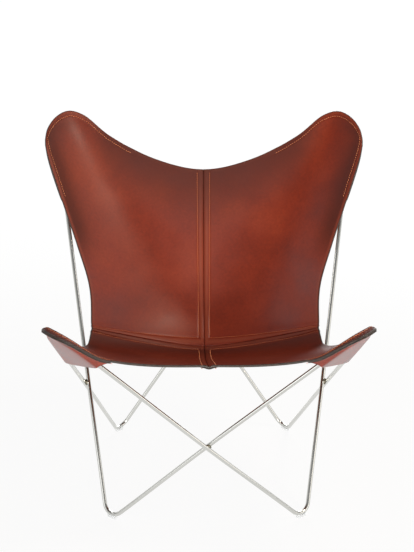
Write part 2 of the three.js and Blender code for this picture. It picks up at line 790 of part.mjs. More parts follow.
for (const [side, other] of [["left", "right"], ["right", "left"]]) {
  const behind = pocket({
    rods: [`rear_${other}`, `front_${side}`].map((name) => fromRight(legs[name].rings, side)),
    plane: topPlane,
    curve: topBend.right,
    rims: backRims,
    reach: backPocketReach,
  });
  const under = pocket({
    rods: [`front_${other}`, `rear_${side}`].map((name) => fromRight(fromSeat(legs[name]), side)),
    plane: seatPlane,
    curve: seatBend.right,
    rims: seatRims,
    reach: seatPocketReach,
  });
  add(`top_pocket_${side}`, sheet(behind, patchThickness, side), fleshLeather);
  add(`seat_pocket_${side}`, sheet(under, patchThickness, side), fleshLeather);
}

// Strips behind the seams

const stripDepth = halfLeather + fitGap + stripThickness / 2;
const stripSpot = (spot) => ({ at: sunk(spot, stripDepth), normal: spot.normal });

function centreStrip(grid) {
  const flat = (spot) => ({ at: spot.at.clone().setX(0), normal: spot.normal.clone().setX(0).normalize() });
  const turned = (spot) => ({ at: mirrored(spot.at), normal: mirrored(spot.normal) });
  const [middle, beside] = grid.slice(0, 2).map((line) => line.slice(1));
  return [beside.map(turned), middle.map(flat), beside].map((line) => line.map(stripSpot));
}

add("centre_strip_back", sheet(centreStrip(backGrid), stripThickness, "right"), fleshLeather);
const seatStrip = centreStrip(seatGrid).map((line) => line.reverse());
add("centre_strip_seat", sheet(seatStrip, stripThickness, "right"), fleshLeather);

const crossStrip = [];
for (let column = 2; column <= panelColumns; column++) {
  const [lower, upper] = [seatGrid[column], backGrid[column]];
  const seam = { at: between(lower[0].at, upper[0].at, 0.5), normal: upper[0].normal };
  crossStrip.push([lower[1], seam, upper[1]].map(stripSpot));
}

for (const side of ["left", "right"]) {
  add(`cross_strip_${side}`, sheet(crossStrip, stripThickness, side), fleshLeather);
}

// Stitching: each line of thread lies on the panel along one of its grid lines

function thread(spots, side) {
  const rings = spots.map((spot) => sunk(spot, -(halfLeather + fitGap + threadRadius)));
  return tube(fromRight(rings, side), threadRadius, threadSides);
}

const nearer = (a, b, share) => ({ at: between(a.at, b.at, share), normal: a.normal });
const downSeam = (grid, rows) => [nearer(grid[1][1], grid[1][2], threadStart), ...grid[1].slice(2, rows)];
const acrossSeam = (grid) => grid.slice(1, panelColumns).map((line) => line[1]);
const roundPocket = (grid, rows, column, row) => [
  ...grid.slice(column, panelColumns).map((line) => line[rows - 1]),
  ...grid[panelColumns - 1].slice(row, rows - 1).reverse(),
];
const stitching = {
  back_seam: downSeam(backGrid, backRows),
  seat_seam: downSeam(seatGrid, seatRows),
  cross_upper: acrossSeam(backGrid),
  cross_lower: acrossSeam(seatGrid),
  top_pocket: roundPocket(backGrid, backRows, backPocketColumn, backPocketRow),
  seat_pocket: roundPocket(seatGrid, seatRows, seatPocketColumn, seatPocketRow),
};

for (const [name, spots] of Object.entries(stitching)) {
  for (const side of ["left", "right"]) {
    add(`thread_${name}_${side}`, thread(spots, side), orangeThread);
  }
}

// The origin is the middle of the whole chair, on the floor

const whole = new THREE.Box3().setFromObject(chair);
for (const mesh of chair.children) {
  mesh.position.y = -(whole.min.y + whole.max.y) / 2;
}

export default chair;
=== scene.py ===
import math

import bmesh
import bpy
from mathutils import Matrix, Vector, noise


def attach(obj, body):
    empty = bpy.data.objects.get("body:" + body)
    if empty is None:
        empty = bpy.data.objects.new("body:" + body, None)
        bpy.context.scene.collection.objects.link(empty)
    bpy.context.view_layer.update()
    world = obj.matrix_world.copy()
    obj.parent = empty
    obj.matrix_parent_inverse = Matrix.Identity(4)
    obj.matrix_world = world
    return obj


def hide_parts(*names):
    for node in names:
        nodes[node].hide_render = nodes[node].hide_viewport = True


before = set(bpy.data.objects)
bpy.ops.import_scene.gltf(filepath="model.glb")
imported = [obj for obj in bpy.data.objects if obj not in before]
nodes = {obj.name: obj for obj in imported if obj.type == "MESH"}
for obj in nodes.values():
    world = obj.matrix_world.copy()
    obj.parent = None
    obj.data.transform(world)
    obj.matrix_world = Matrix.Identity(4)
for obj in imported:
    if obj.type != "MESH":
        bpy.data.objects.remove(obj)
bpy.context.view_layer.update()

mm = 0.001
print("frame loaded:", len(nodes), "nodes")

# Camera and room. The photograph looks slightly down at the front of the chair.

view = {
    "distance": 3.248613,
    "down": math.radians(17.121),
    "yaw": math.radians(1.479),
    "roll": math.radians(0.349),
    "aim": (0.003022, 0.033696, 0.523642),  # side step, depth and height of the point in the middle
    "lens": 87.586,  # 36 mm across the longer side of the picture
}


def addCamera():
    down, yaw, roll = view["down"], view["yaw"], view["roll"]
    across = Vector((math.cos(yaw), -math.sin(yaw), 0))
    ahead = Vector((math.sin(yaw) * math.cos(down), math.cos(yaw) * math.cos(down), -math.sin(down)))
    up = across.cross(ahead)
    side, depth, height = view["aim"]
    middle = across * side + Vector((0, depth, height))
    right = across * math.cos(roll) + up * math.sin(roll)
    top = up * math.cos(roll) - across * math.sin(roll)
    pose = Matrix((right, top, -ahead)).transposed().to_4x4()
    pose.translation = middle - ahead * view["distance"]
    lens = bpy.data.cameras.new("photoCamera")
    lens.lens = view["lens"]
    lens.sensor_width = 36
    lens.clip_end = 100
    camera = bpy.data.objects.new("photoCamera", lens)
    camera.matrix_world = pose
    bpy.context.scene.collection.objects.link(camera)
    bpy.context.scene.camera = camera


addCamera()
bpy.context.scene.view_settings.view_transform = "Standard"


def linear(code):
    parts = [int(code[k:k + 2], 16) / 255 for k in (1, 3, 5)]
    return tuple(p / 12.92 if p <= 0.04045 else ((p + 0.055) / 1.055) ** 2.4 for p in parts) + (1.0,)


def addNode(tree, kind, settings=None, links=None):
    made = tree.nodes.new("ShaderNode" + kind)
    for key, value in (settings or {}).items():
        if key == "stops":
            bar = made.color_ramp
            while len(bar.elements) < len(value):
                bar.elements.new(0.5)
            for stop, (at, colour) in zip(bar.elements, value):
                stop.position = at
                stop.color = linear(colour) if isinstance(colour, str) else (colour, colour, colour, 1)
        elif isinstance(key, int) or key in made.inputs:
            made.inputs[key].default_value = value
        else:
            setattr(made, key, value)
    for key, source in (links or {}).items():  # a node stands for its first output
        tree.links.new(source.outputs[0] if isinstance(source, bpy.types.Node) else source, made.inputs[key])
    return made


def newMaterial(name, shade, *choices):
    # shade adds the material's nodes to its tree and gives back the shader
    material = bpy.data.materials.new(name)
    material.use_nodes = True
    tree = material.node_tree
    tree.nodes.clear()
    addNode(tree, "OutputMaterial", links={"Surface": shade(tree, *choices)})
    return material


room = {
    "floorSize": 60.0,
    "floor": "#e9e8e6",
    "floorGlow": (0.9, 1.0),  # share of the floor that shows as plain white near the chair and far off
    "glowReach": (1.0, 3.5),
    "glow": 1.02,
    "ambient": 0.1,
    "dim": 0.75, "dimFrom": (-0.15, 0.5),  # the room behind the camera, as the steel shows it
    "ceiling": 0.38, "ceilingFrom": (0.25, 0.6),  # and its ceiling, against its walls
    "lampAim": (0, 0, 0.45),
    "lamps": [  # name, place, size, watts, colour
        ("frontSoftbox", (0.05, -3.1, 0.95), 1.5, 65, "#fffaf4"),
        ("rightSoftbox", (2.6, -1.2, 1.1), 1.2, 7, "#fff4e8"),
        ("leftSoftbox", (-2.6, -2.0, 1.0), 1.2, 7, "#ffffff"),
        ("rightSheen", (1.034, -0.246, 2.008), 0.3, 10, "#fff0dc"),  # shines off the left wing
        ("rightLow", (1.154, 0.152, 1.176), 0.3, 0.9, "#ffffff"),  # and these off the sides, low down
        ("leftLow", (-1.154, 0.152, 1.176), 0.3, 1.3, "#ffffff"),
        ("backSoftbox", (0.6, 3.2, 1.2), 1.8, 60, "#ffffff"),
    ],
}


def raysSeen(tree):
    # the eye's own rays, and those that reach it by a reflection or through glass
    path = addNode(tree, "LightPath")
    glossy = addNode(tree, "Math", {"operation": "MAXIMUM"},
                     {0: path.outputs["Is Glossy Ray"], 1: path.outputs["Is Transmission Ray"]})
    return path.outputs["Is Camera Ray"], glossy


def addWorld():
    # the sweep behind the chair is white, the room behind the camera is dimmer
    world = bpy.data.worlds.new("whiteStudio")
    world.use_nodes = True
    bpy.context.scene.world = world
    tree = world.node_tree
    tree.nodes.clear()
    eye, glossy = raysSeen(tree)
    where = addNode(tree, "TexCoord")
    axes = addNode(tree, "SeparateXYZ", links={0: where.outputs["Generated"]})
    rear, front = room["dimFrom"]
    sweep = addNode(tree, "MapRange", {"From Min": rear, "From Max": front, "To Min": room["dim"], "To Max": 1.0},
                    {"Value": axes.outputs["Y"]})
    low, high = room["ceilingFrom"]
    overhead = addNode(tree, "MapRange",
                       {"From Min": low, "From Max": high, "To Min": 1.0, "To Max": room["ceiling"]},
                       {"Value": axes.outputs["Z"]})
    walls = addNode(tree, "Math", {"operation": "MULTIPLY"}, {0: sweep, 1: overhead})
    other = addNode(tree, "Mix", {"data_type": "FLOAT", 2: room["ambient"]}, {0: glossy, 3: walls})
    strength = addNode(tree, "Mix", {"data_type": "FLOAT", 3: 1.0}, {0: eye, 2: other})
    shade = addNode(tree, "Background", {"Color": (1, 1, 1, 1)}, {"Strength": strength})
    addNode(tree, "OutputWorld", links={"Surface": shade})


def addLamps():
    for name, stand, size, watts, colour in room["lamps"]:
        lamp = bpy.data.lights.new(name, "AREA")
        lamp.size = size
        lamp.energy = watts
        lamp.color = linear(colour)[:3]
        holder = bpy.data.objects.new(name, lamp)
        aim = Vector(room["lampAim"]) - Vector(stand)
        holder.matrix_world = Matrix.Translation(stand) @ aim.to_track_quat("-Z", "Y").to_matrix().to_4x4()
        holder.visible_camera = False
        bpy.context.scene.collection.objects.link(holder)


def shadeFloor(tree):
    # matt pale floor; most of what the eye gets from it is plain white, and the rest keeps the shadow
    eye, glossy = raysSeen(tree)
    shown = addNode(tree, "Math", {"operation": "MAXIMUM"}, {0: eye, 1: glossy})
    where = addNode(tree, "TexCoord")
    far = addNode(tree, "VectorMath", {"operation": "LENGTH"}, {0: where.outputs["Object"]})
    (near, away), (low, high) = room["glowReach"], room["floorGlow"]
    share = addNode(tree, "MapRange", {"From Min": near, "From Max": away, "To Min": low, "To Max": high},
                    {"Value": far.outputs["Value"]})
    part = addNode(tree, "Math", {"operation": "MULTIPLY"}, {0: shown, 1: share})
    matt = addNode(tree, "BsdfDiffuse", {"Color": linear(room["floor"])})
    glow = addNode(tree, "Emission", {"Color": (1, 1, 1, 1), "Strength": room["glow"]})
    return addNode(tree, "MixShader", links={0: part, 1: matt, 2: glow})


def addFloor():
    bm = bmesh.new()
    bmesh.ops.create_grid(bm, x_segments=1, y_segments=1, size=room["floorSize"] / 2)
    mesh = bpy.data.meshes.new("floor")
    bm.to_mesh(mesh)
    bm.free()
    mesh.materials.append(newMaterial("paleFloor", shadeFloor))
    floor = bpy.data.objects.new("floor", mesh)
    bpy.context.scene.collection.objects.link(floor)


addWorld()
addLamps()
addFloor()
print("camera and room ready")

# Materials


def between(low, high):
    # settings that spread a noise, most of which lies from 0.3 to 0.7, between two values
    return {"From Min": 0.3, "From Max": 0.7, "To Min": low, "To Max": high}


grainLook = {
    "colour": [(0.28, "#76240f"), (0.5, "#8b2e14"), (0.72, "#9b3a1d")],
    "patchSize": 160 * mm,  # across the soft changes of colour
    "fleck": 6 * mm,        # small spots where the dye took unevenly
    # lighter colour for rub wear and painted highlight; near black for rim dye and painted shade
    "rubbed": "#a85c40", "edgeDarkAndShade": "#43190f",
    "grain": 1.6 * mm,  # real pores are about 0.5 mm; drawn coarser so that they show
    "grainDepth": 0.22,
    "dulled": 0.32,  # how much rougher the leather is where it is dyed dark or has painted shade
}


def shadeGrain(tree, shine, roughness):
    # saddle leather, vegetable tanned and waxed: deep red-brown, mottled, with a soft satin shine; the panels'
    # attributes add dye, rub wear, painted shade and painted highlight to its colour
    look = grainLook
    where = addNode(tree, "TexCoord").outputs["Object"]
    cloud = addNode(tree, "TexNoise", {"Scale": 1 / look["patchSize"], "Detail": 5, "Roughness": 0.55},
                    {"Vector": where})
    ramp = addNode(tree, "ValToRGB", {"stops": look["colour"]}, {0: cloud})
    fleck = addNode(tree, "TexNoise", {"Scale": 1 / look["fleck"], "Detail": 3}, {"Vector": where})
    fleckTone = addNode(tree, "MapRange", between(0.86, 1.08), {"Value": fleck})
    toned = addNode(tree, "Mix", {"data_type": "RGBA", "blend_type": "MULTIPLY", 0: 1.0}, {6: ramp, 7: fleckTone})
    # dye and painted shade come in through the rim attribute; rub wear and painted highlight come in through the
    # other attribute
    rim = addNode(tree, "Attribute", {"attribute_name": "rim"})
    rubbed = addNode(tree, "Attribute", {"attribute_name": "rubbed"})
    wornAndSheen = addNode(tree, "Mix", {"data_type": "RGBA", 7: linear(look["rubbed"])},
                   {0: rubbed.outputs["Fac"], 6: toned.outputs[2]})
    agedAndShaded = addNode(tree, "Mix", {"data_type": "RGBA", 7: linear(look["edgeDarkAndShade"])},
                   {0: rim.outputs["Fac"], 6: wornAndSheen.outputs[2]})
    polish = addNode(tree, "MapRange", between(*roughness), {"Value": cloud})
    rough = addNode(tree, "Math", {"operation": "MULTIPLY_ADD", 1: look["dulled"]},
                    {0: rim.outputs["Fac"], 2: polish})
    pores = addNode(tree, "TexVoronoi", {"Scale": 1 / look["grain"], "feature": "SMOOTH_F1"}, {"Vector": where})
    crease = addNode(tree, "TexNoise", {"Scale": 1 / (5 * look["grain"]), "Detail": 6, "Roughness": 0.6},
                     {"Vector": where})
    relief = addNode(tree, "Math", {"operation": "ADD"}, {0: pores.outputs["Distance"], 1: crease})
    bump = addNode(tree, "Bump", {"Strength": look["grainDepth"], "Distance": 0.4 * mm}, {"Height": relief})
    return addNode(tree, "BsdfPrincipled", {"IOR": 1.5, "Specular IOR Level": shine},
                   {"Base Color": agedAndShaded.outputs[2], "Roughness": rough, "Normal": bump})


fleshLook = {
    "colour": [(0.3, "#6d4433"), (0.55, "#7f5340"), (0.75, "#8f6450")],
    "cloud": 45 * mm,   # across the fibrous patches
    "fibre": 2.2 * mm,  # nap drawn coarser than the real 0.3 mm fibre so that it shows
    "roughness": 0.9,
}


def shadeFlesh(tree):
    # flesh side of the hide: napped, matt and paler, with a fibrous cloudiness and no shine
    look = fleshLook
    where = addNode(tree, "TexCoord").outputs["Object"]
    cloud = addNode(tree, "TexNoise", {"Scale": 1 / look["cloud"], "Detail": 7, "Roughness": 0.65}, {"Vector": where})
    ramp = addNode(tree, "ValToRGB", {"stops": look["colour"]}, {0: cloud})
    nap = addNode(tree, "TexNoise", {"Scale": 1 / look["fibre"], "Detail": 6, "Roughness": 0.7},
                  {"Vector": where})
    shade = addNode(tree, "MapRange", between(0.8, 1.12), {"Value": nap})
    toned = addNode(tree, "Mix", {"data_type": "RGBA", "blend_type": "MULTIPLY", 0: 1.0}, {6: ramp, 7: shade})
    bump = addNode(tree, "Bump", {"Strength": 0.5, "Distance": 0.5 * mm}, {"Height": nap})
    return addNode(tree, "BsdfPrincipled",
                   {"Roughness": look["roughness"], "IOR": 1.5, "Specular IOR Level": 0.2, "Sheen Weight": 0.3,
                    "Sheen Roughness": 0.5, "Sheen Tint": linear("#c9a48f")},
                   {"Base Color": toned.outputs[2], "Normal": bump})


edgeLook = {
    "colour": [(0.35, "#2a231f"), (0.65, "#453830")],
    "streak": 7 * mm, "layer": 1.5 * mm,  # the hide's layers are finer, and drawn as coarse as shows
    "roughness": 0.48,
}


def shadeEdge(tree):
    # cut edge of the leather, dyed almost black and burnished: satin, with faint layers along it
    look = edgeLook
    where = addNode(tree, "TexCoord").outputs["Object"]
    streak = addNode(tree, "TexNoise", {"Scale": 1 / look["streak"], "Detail": 4}, {"Vector": where})
    ramp = addNode(tree, "ValToRGB", {"stops": look["colour"]}, {0: streak})
    fine = addNode(tree, "TexNoise", {"Scale": 1 / look["layer"], "Detail": 3}, {"Vector": where})
    bump = addNode(tree, "Bump", {"Strength": 0.25, "Distance": 0.3 * mm}, {"Height": fine})
    return addNode(tree, "BsdfPrincipled", {"Roughness": look["roughness"], "IOR": 1.5},
                   {"Base Color": ramp, "Normal": bump})


threadLook = {
    "colour": [(0.3, "#e0713a"), (0.7, "#ffa66e")],
    "twist": 4 * mm,  # a wave's bands lie 0.31 of this apart, so about 1.3 mm
    "roughness": 0.55,
}


def shadeThread(tree):
    # waxed polyester thread, orange-brown: a soft shine, and a twist that breaks up its colour
    look = threadLook
    where = addNode(tree, "TexCoord").outputs["Object"]
    twist = addNode(tree, "TexWave", {"Scale": 1 / look["twist"], "Distortion": 3, "Detail": 2}, {"Vector": where})
    ramp = addNode(tree, "ValToRGB", {"stops": look["colour"]}, {0: twist.outputs[1]})
    bump = addNode(tree, "Bump", {"Strength": 0.4, "Distance": 0.2 * mm}, {"Height": twist.outputs[1]})
    return addNode(tree, "BsdfPrincipled", {"Roughness": look["roughness"], "Sheen Weight": 0.2},
                   {"Base Color": ramp, "Normal": bump})


steelLook = {
    "colour": [(0.3, "#c4c4bf"), (0.7, "#dadad6")],
    "line": 0.9 * mm,  # lines left by drawing the rod, drawn coarser than the real 0.1 mm
    "run": 160 * mm,   # how far a line goes on along the rod
    "haze": 50 * mm,   # across the duller patches
    "roughness": (0.1, 0.2),
}


def shadeSteel(tree):
    # cold-drawn stainless rod, polished lengthways: bright, with fine lines along it
    look = steelLook
    rod = addNode(tree, "Attribute", {"attribute_name": "rodSpace"})
    lines = addNode(tree, "Mapping", {"Scale": (1 / look["line"], 1 / look["line"], 1 / look["run"])},
                    {"Vector": rod.outputs["Vector"]})
    drawn = addNode(tree, "TexNoise", {"Scale": 1.0, "Detail": 4}, {"Vector": lines})
    haze = addNode(tree, "TexNoise", {"Scale": 1 / look["haze"], "Detail": 3}, {"Vector": rod.outputs["Vector"]})
    ramp = addNode(tree, "ValToRGB", {"stops": look["colour"]}, {0: drawn})
    rough = addNode(tree, "MapRange", between(*look["roughness"]), {"Value": haze})
    bump = addNode(tree, "Bump", {"Strength": 0.04, "Distance": 0.1 * mm}, {"Height": drawn})
    return addNode(tree, "BsdfPrincipled", {"Metallic": 1.0},
                   {"Base Color": ramp, "Roughness": rough, "Normal": bump})


weldLook = {
    "colour": [(0.3, "#5d5a4a"), (0.55, "#8d8a7c"), (0.75, "#7a6a4c")],
    "tint": 5 * mm, "ripple": 1.2 * mm,  # patches of heat tint, and the bead's own ripples
    "roughness": (0.3, 0.5),
}


def shadeWeld(tree):
    # weld bead on stainless, brushed off but not polished: duller, with straw and olive heat tint
    look = weldLook
    where = addNode(tree, "TexCoord").outputs["Object"]
    tint = addNode(tree, "TexNoise", {"Scale": 1 / look["tint"], "Detail": 3}, {"Vector": where})
    ramp = addNode(tree, "ValToRGB", {"stops": look["colour"]}, {0: tint})
    rough = addNode(tree, "MapRange", between(*look["roughness"]), {"Value": tint})
    ripple = addNode(tree, "TexNoise", {"Scale": 1 / look["ripple"], "Detail": 2}, {"Vector": where})
    bump = addNode(tree, "Bump", {"Strength": 0.5, "Distance": 0.4 * mm}, {"Height": ripple})
    return addNode(tree, "BsdfPrincipled", {"Metallic": 1.0},
                   {"Base Color": ramp, "Roughness": rough, "Normal": bump})


glideLook = {"colour": "#f2f4f4", "scuff": 3 * mm, "roughness": (0.08, 0.22)}  # scuffs about 3 mm across


def shadeGlide(tree):
    # clear moulded polycarbonate, scuffed where it slides: see-through with a slight haze
    look = glideLook
    where = addNode(tree, "TexCoord").outputs["Object"]
    scuff = addNode(tree, "TexNoise", {"Scale": 1 / look["scuff"], "Detail": 5}, {"Vector": where})
    rough = addNode(tree, "MapRange", between(*look["roughness"]), {"Value": scuff})
    bump = addNode(tree, "Bump", {"Strength": 0.15, "Distance": 0.2 * mm}, {"Height": scuff})
    return addNode(tree, "BsdfPrincipled",
                   {"Base Color": linear(look["colour"]), "IOR": 1.585, "Transmission Weight": 0.85},
                   {"Roughness": rough, "Normal": bump})


grainLeather = newMaterial("waxedSaddleLeather", shadeGrain, 0.36, (0.32, 0.44))
pocketLeather = newMaterial("polishedPocketLeather", shadeGrain, 0.8, (0.26, 0.34))
fleshSide = newMaterial("nappedFleshSide", shadeFlesh)
dyedEdge = newMaterial("burnishedDyedEdge", shadeEdge)
orangeThread = newMaterial("waxedThread", shadeThread)
rodSteel = newMaterial("polishedStainlessRod", shadeSteel)
weldSteel = newMaterial("tintedWeldBead", shadeWeld)
clearGlide = newMaterial("clearPolycarbonate", shadeGlide)
print("materials ready")


def addPiece(name, bm, materials, replaced):
    mesh = bpy.data.meshes.new(name)
    bm.to_mesh(mesh)
    bm.free()
    for material in materials:
        mesh.materials.append(material)
    piece = bpy.data.objects.new(name, mesh)
    bpy.context.scene.collection.objects.link(piece)
    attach(piece, "root")
    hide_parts(*replaced)
    return piece


def mix(a, b, share):
    return a + (b - a) * share


def mirrored(p):
    return Vector((-p.x, p.y, p.z))


def sided(p, side):
    return mirrored(p) if side == "left" else p


bothSides = (("left", "right"), ("right", "left"))  # each side and the other

# Frame of bent rod. Millimetres, with y from the middle of the feet; place() gives metres in the chair's own frame.

rodFrame = {
    "radius": 5.0,
    "touch": 0.3,
    "frontFoot": (235, -264.5),
    "rearFoot": (229, 264.5),
    "seatTip": Vector((360, -429.5, 546)),
    "topTip": Vector((388, 295.5, 908)),
    "footBend": 30,
    "seatBend": 45,
    "topBend": 38,
    "footRise": 8.3,     # middle of the rod over the floor, where it stands on its glide
    "toMiddle": 63.1956,  # the chair's own middle lies this far ahead of the middle of the feet
    "sides": 24,
    "bendSteps": 18,
    "runSteps": 26,
}


def place(p):
    return Vector((p.x, p.y + rodFrame["toMiddle"], p.z)) * mm


def bendRound(corner, endA, endB, radius):
    toA = (endA - corner).normalized()
    toB = (endB - corner).normalized()
    half = toA.angle(toB) / 2
    inward = (toA + toB).normalized()
    centre = corner + inward * (radius / math.sin(half))
    normal = toA.cross(toB).normalized()
    return {
        "radius": radius, "inward": inward, "centre": centre, "normal": normal,
        "along": (toB - toA).normalized(),
        "sweep": math.pi / 2 - half,
        "tangent": radius / math.tan(half),
        "apex": centre - inward * radius,
        "lowest": centre.z - radius * math.sqrt(1 - normal.z ** 2),
    }


def onBend(bent, share):
    angle = bent["sweep"] * (2 * share - 1)
    out = bent["along"] * math.sin(angle) - bent["inward"] * math.cos(angle)
    return bent["centre"] + out * bent["radius"]


def footCorner(x, y, tipA, tipB):
    corner = Vector((x, y, 0))
    for again in range(4):
        corner.z += rodFrame["footRise"] - bendRound(corner, tipA, tipB, rodFrame["footBend"])["lowest"]
    return corner


topTip = {"right": rodFrame["topTip"], "left": mirrored(rodFrame["topTip"])}
seatTip = {"right": rodFrame["seatTip"], "left": mirrored(rodFrame["seatTip"])}
frontFoot = {"right": footCorner(*rodFrame["frontFoot"], topTip["right"], seatTip["left"])}
rearFoot = {"right": footCorner(*rodFrame["rearFoot"], topTip["left"], seatTip["right"])}
frontFoot["left"] = mirrored(frontFoot["right"])
rearFoot["left"] = mirrored(rearFoot["right"])
topBend = {s: bendRound(topTip[s], frontFoot[s], rearFoot[o], rodFrame["topBend"]) for s, o in bothSides}
seatBend = {s: bendRound(seatTip[s], rearFoot[s], frontFoot[o], rodFrame["seatBend"]) for s, o in bothSides}


def crossing(a, b, towardsB):
    # where two runs cross, each springs aside so that the rods just touch
    dirA, dirB = a[1] - a[0], b[1] - b[0]
    normal = dirA.cross(dirB).normalized()
    if normal.dot(towardsB) < 0:
        normal.negate()
    gap = b[0] - a[0]
    aa, ab, bb = dirA.dot(dirA), dirA.dot(dirB), dirB.dot(dirB)
    ga, gb = gap.dot(dirA), gap.dot(dirB)
    shareA = (ga * bb - gb * ab) / (aa * bb - ab * ab)
    shareB = (ga * ab - gb * aa) / (aa * bb - ab * ab)
    push = normal * ((2 * rodFrame["radius"] + rodFrame["touch"] - gap.dot(normal)) / 2)
    return (shareA, -push), (shareB, push)


forwards = Vector((0, -1, 0))
sideways = Vector((1, 0, 0))
sprung = {
    "front": crossing((frontFoot["left"], seatTip["right"]), (frontFoot["right"], seatTip["left"]), forwards),
    "back": crossing((rearFoot["right"], topTip["left"]), (rearFoot["left"], topTip["right"]), forwards),
    "left": crossing((frontFoot["left"], topTip["left"]), (rearFoot["left"], seatTip["left"]), -sideways),
    "right": crossing((frontFoot["right"], topTip["right"]), (rearFoot["right"], seatTip["right"]), sideways),
}


def rodRun(foot, tip, footTangent, tipTangent, springs):
    length = (tip - foot).length
    first, last = footTangent / length, 1 - tipTangent / length
    at, push = springs
    points = []
    for step in range(1, rodFrame["runSteps"]):
        share = mix(first, last, step / rodFrame["runSteps"])
        reach = (share - first) / (at - first) if share < at else (last - share) / (last - at)
        points.append(mix(foot, tip, share) + push * ((1 - math.cos(math.pi * reach)) / 2))
    return points


def bendRun(bent, first, last):
    steps = rodFrame["bendSteps"]
    return [onBend(bent, mix(first, last, step / steps)) for step in range(steps + 1)]


def legPath(foot, top, topHalf, seat, seatHalf, sprungTop, sprungSeat):
    # one rod, from the middle of a top bend round its foot to the middle of a seat bend
    topEnd, seatEnd = topBend[top], seatBend[seat]
    footBend = bendRound(foot, topTip[top], seatTip[seat], rodFrame["footBend"])
    topRun = rodRun(foot, topTip[top], footBend["tangent"], topEnd["tangent"], sprungTop)
    seatRun = rodRun(foot, seatTip[seat], footBend["tangent"], seatEnd["tangent"], sprungSeat)
    butt = rodFrame["touch"] / 400  # half the gap at the butt, as a share of the bend
    return (bendRun(topEnd, 0.5 + (topHalf - 0.5) * butt, topHalf) + topRun[::-1] + bendRun(footBend, 0, 1)
            + seatRun + bendRun(seatEnd, seatHalf, 0.5 + (seatHalf - 0.5) * butt))


legPaths = {
    "front_left": legPath(frontFoot["left"], "left", 0, "right", 1, sprung["left"][0], sprung["front"][0]),
    "front_right": legPath(frontFoot["right"], "right", 0, "left", 1, sprung["right"][0], sprung["front"][1]),
    "rear_left": legPath(rearFoot["left"], "right", 1, "left", 0, sprung["back"][1], sprung["left"][1]),
    "rear_right": legPath(rearFoot["right"], "left", 1, "right", 0, sprung["back"][0], sprung["right"][1]),
}


def sweepRod(path, radius, sides):
    # a ring at each point of the path, turned with it, and bridged to the ring before
    bm = bmesh.new()
    rodSpace = bm.verts.layers.float_vector.new("rodSpace")
    turn, before, ringBefore, travelled = None, None, None, 0
    for step, p in enumerate(path):
        after = path[min(step + 1, len(path) - 1)]
        heading = (after - path[max(step - 1, 0)]).normalized()
        if before is None:
            turn = Vector((0, 0, 1)).rotation_difference(heading)
        else:
            turn = before.rotation_difference(heading) @ turn
            travelled += (p - path[step - 1]).length
        before = heading
        frameAt = Matrix.Translation(place(p)) @ turn.to_matrix().to_4x4()
        ends = step in (0, len(path) - 1)
        ring = bmesh.ops.create_circle(bm, segments=sides, radius=radius * mm, cap_ends=ends, matrix=frameAt)["verts"]
        for v in ring:
            local = frameAt.inverted() @ v.co
            v[rodSpace] = Vector((local.x, local.y, travelled * mm))
        if ringBefore:
            here = set(ring) | set(ringBefore)
            edges = {e for v in here for e in v.link_edges if set(e.verts) <= here}
            bmesh.ops.bridge_loops(bm, edges=list(edges))
        ringBefore = ring
    bmesh.ops.recalc_face_normals(bm, faces=bm.faces)
    for face in bm.faces:
        face.smooth = len(face.verts) == 4
    return bm


for name, path in legPaths.items():
    bm = sweepRod(path, rodFrame["radius"], rodFrame["sides"])
    addPiece("rod_" + name, bm, [rodSteel], ["leg_" + name])
print("rods swept:", len(legPaths))

for name, node in nodes.items():
    if name.startswith(("weld_", "glide_")):
        node.data.materials.clear()
        node.data.materials.append(weldSteel if name.startswith("weld_") else clearGlide)

# Sling. The right half is drawn and mirrored.

hide = {
    "thickness": 4.0,
    "seamGap": 0.6,
    "edgeRound": 1.5,
    "seamStitch": 14,
    "pillow": 1.0, "fullness": 0.7,  # height and roundness of the bands beside the seams
    "pressed": 0.7,   # depth of the stitch lines
    "uneven": 1.3,    # soft unevenness of a hide that has been sat on
    "unevenSize": 130, "unevenFrom": (14, 60),
    "finer": (300, 0.42, 0.5),  # a second, smaller unevenness: its shift, size and share
    "rodToMiddle": 7.9,  # from the middle of a rod to the middle of the leather that lies on it
    "seamTurn": 10,      # the leather turns into the cross seam over this length
    "seamDent": 1.6, "edgeDent": 1.4,  # how wide the stitches press it, at the seams and round the pockets
    "grooveWidth": 8.5, "grooveFrom": (0.02, 0.5),
    "pocketFade": (-0.05, 0.03),  # where a pocket's marks start, round the start of the pocket
    "hemFade": 60, "hemFrom": (-2, 3), "beadWidth": 3,
    "creases": (0.6, 16, 14, 8.5),  # height, middle, spread and spacing of the small folds at the cross seam's ends
    "creasesFrom": (0.5, 0.9),
    "droopReach": 70, "droopFrom": (-6, 22), "skiveReach": 60,  # from the wing's tip, and from the edge
}
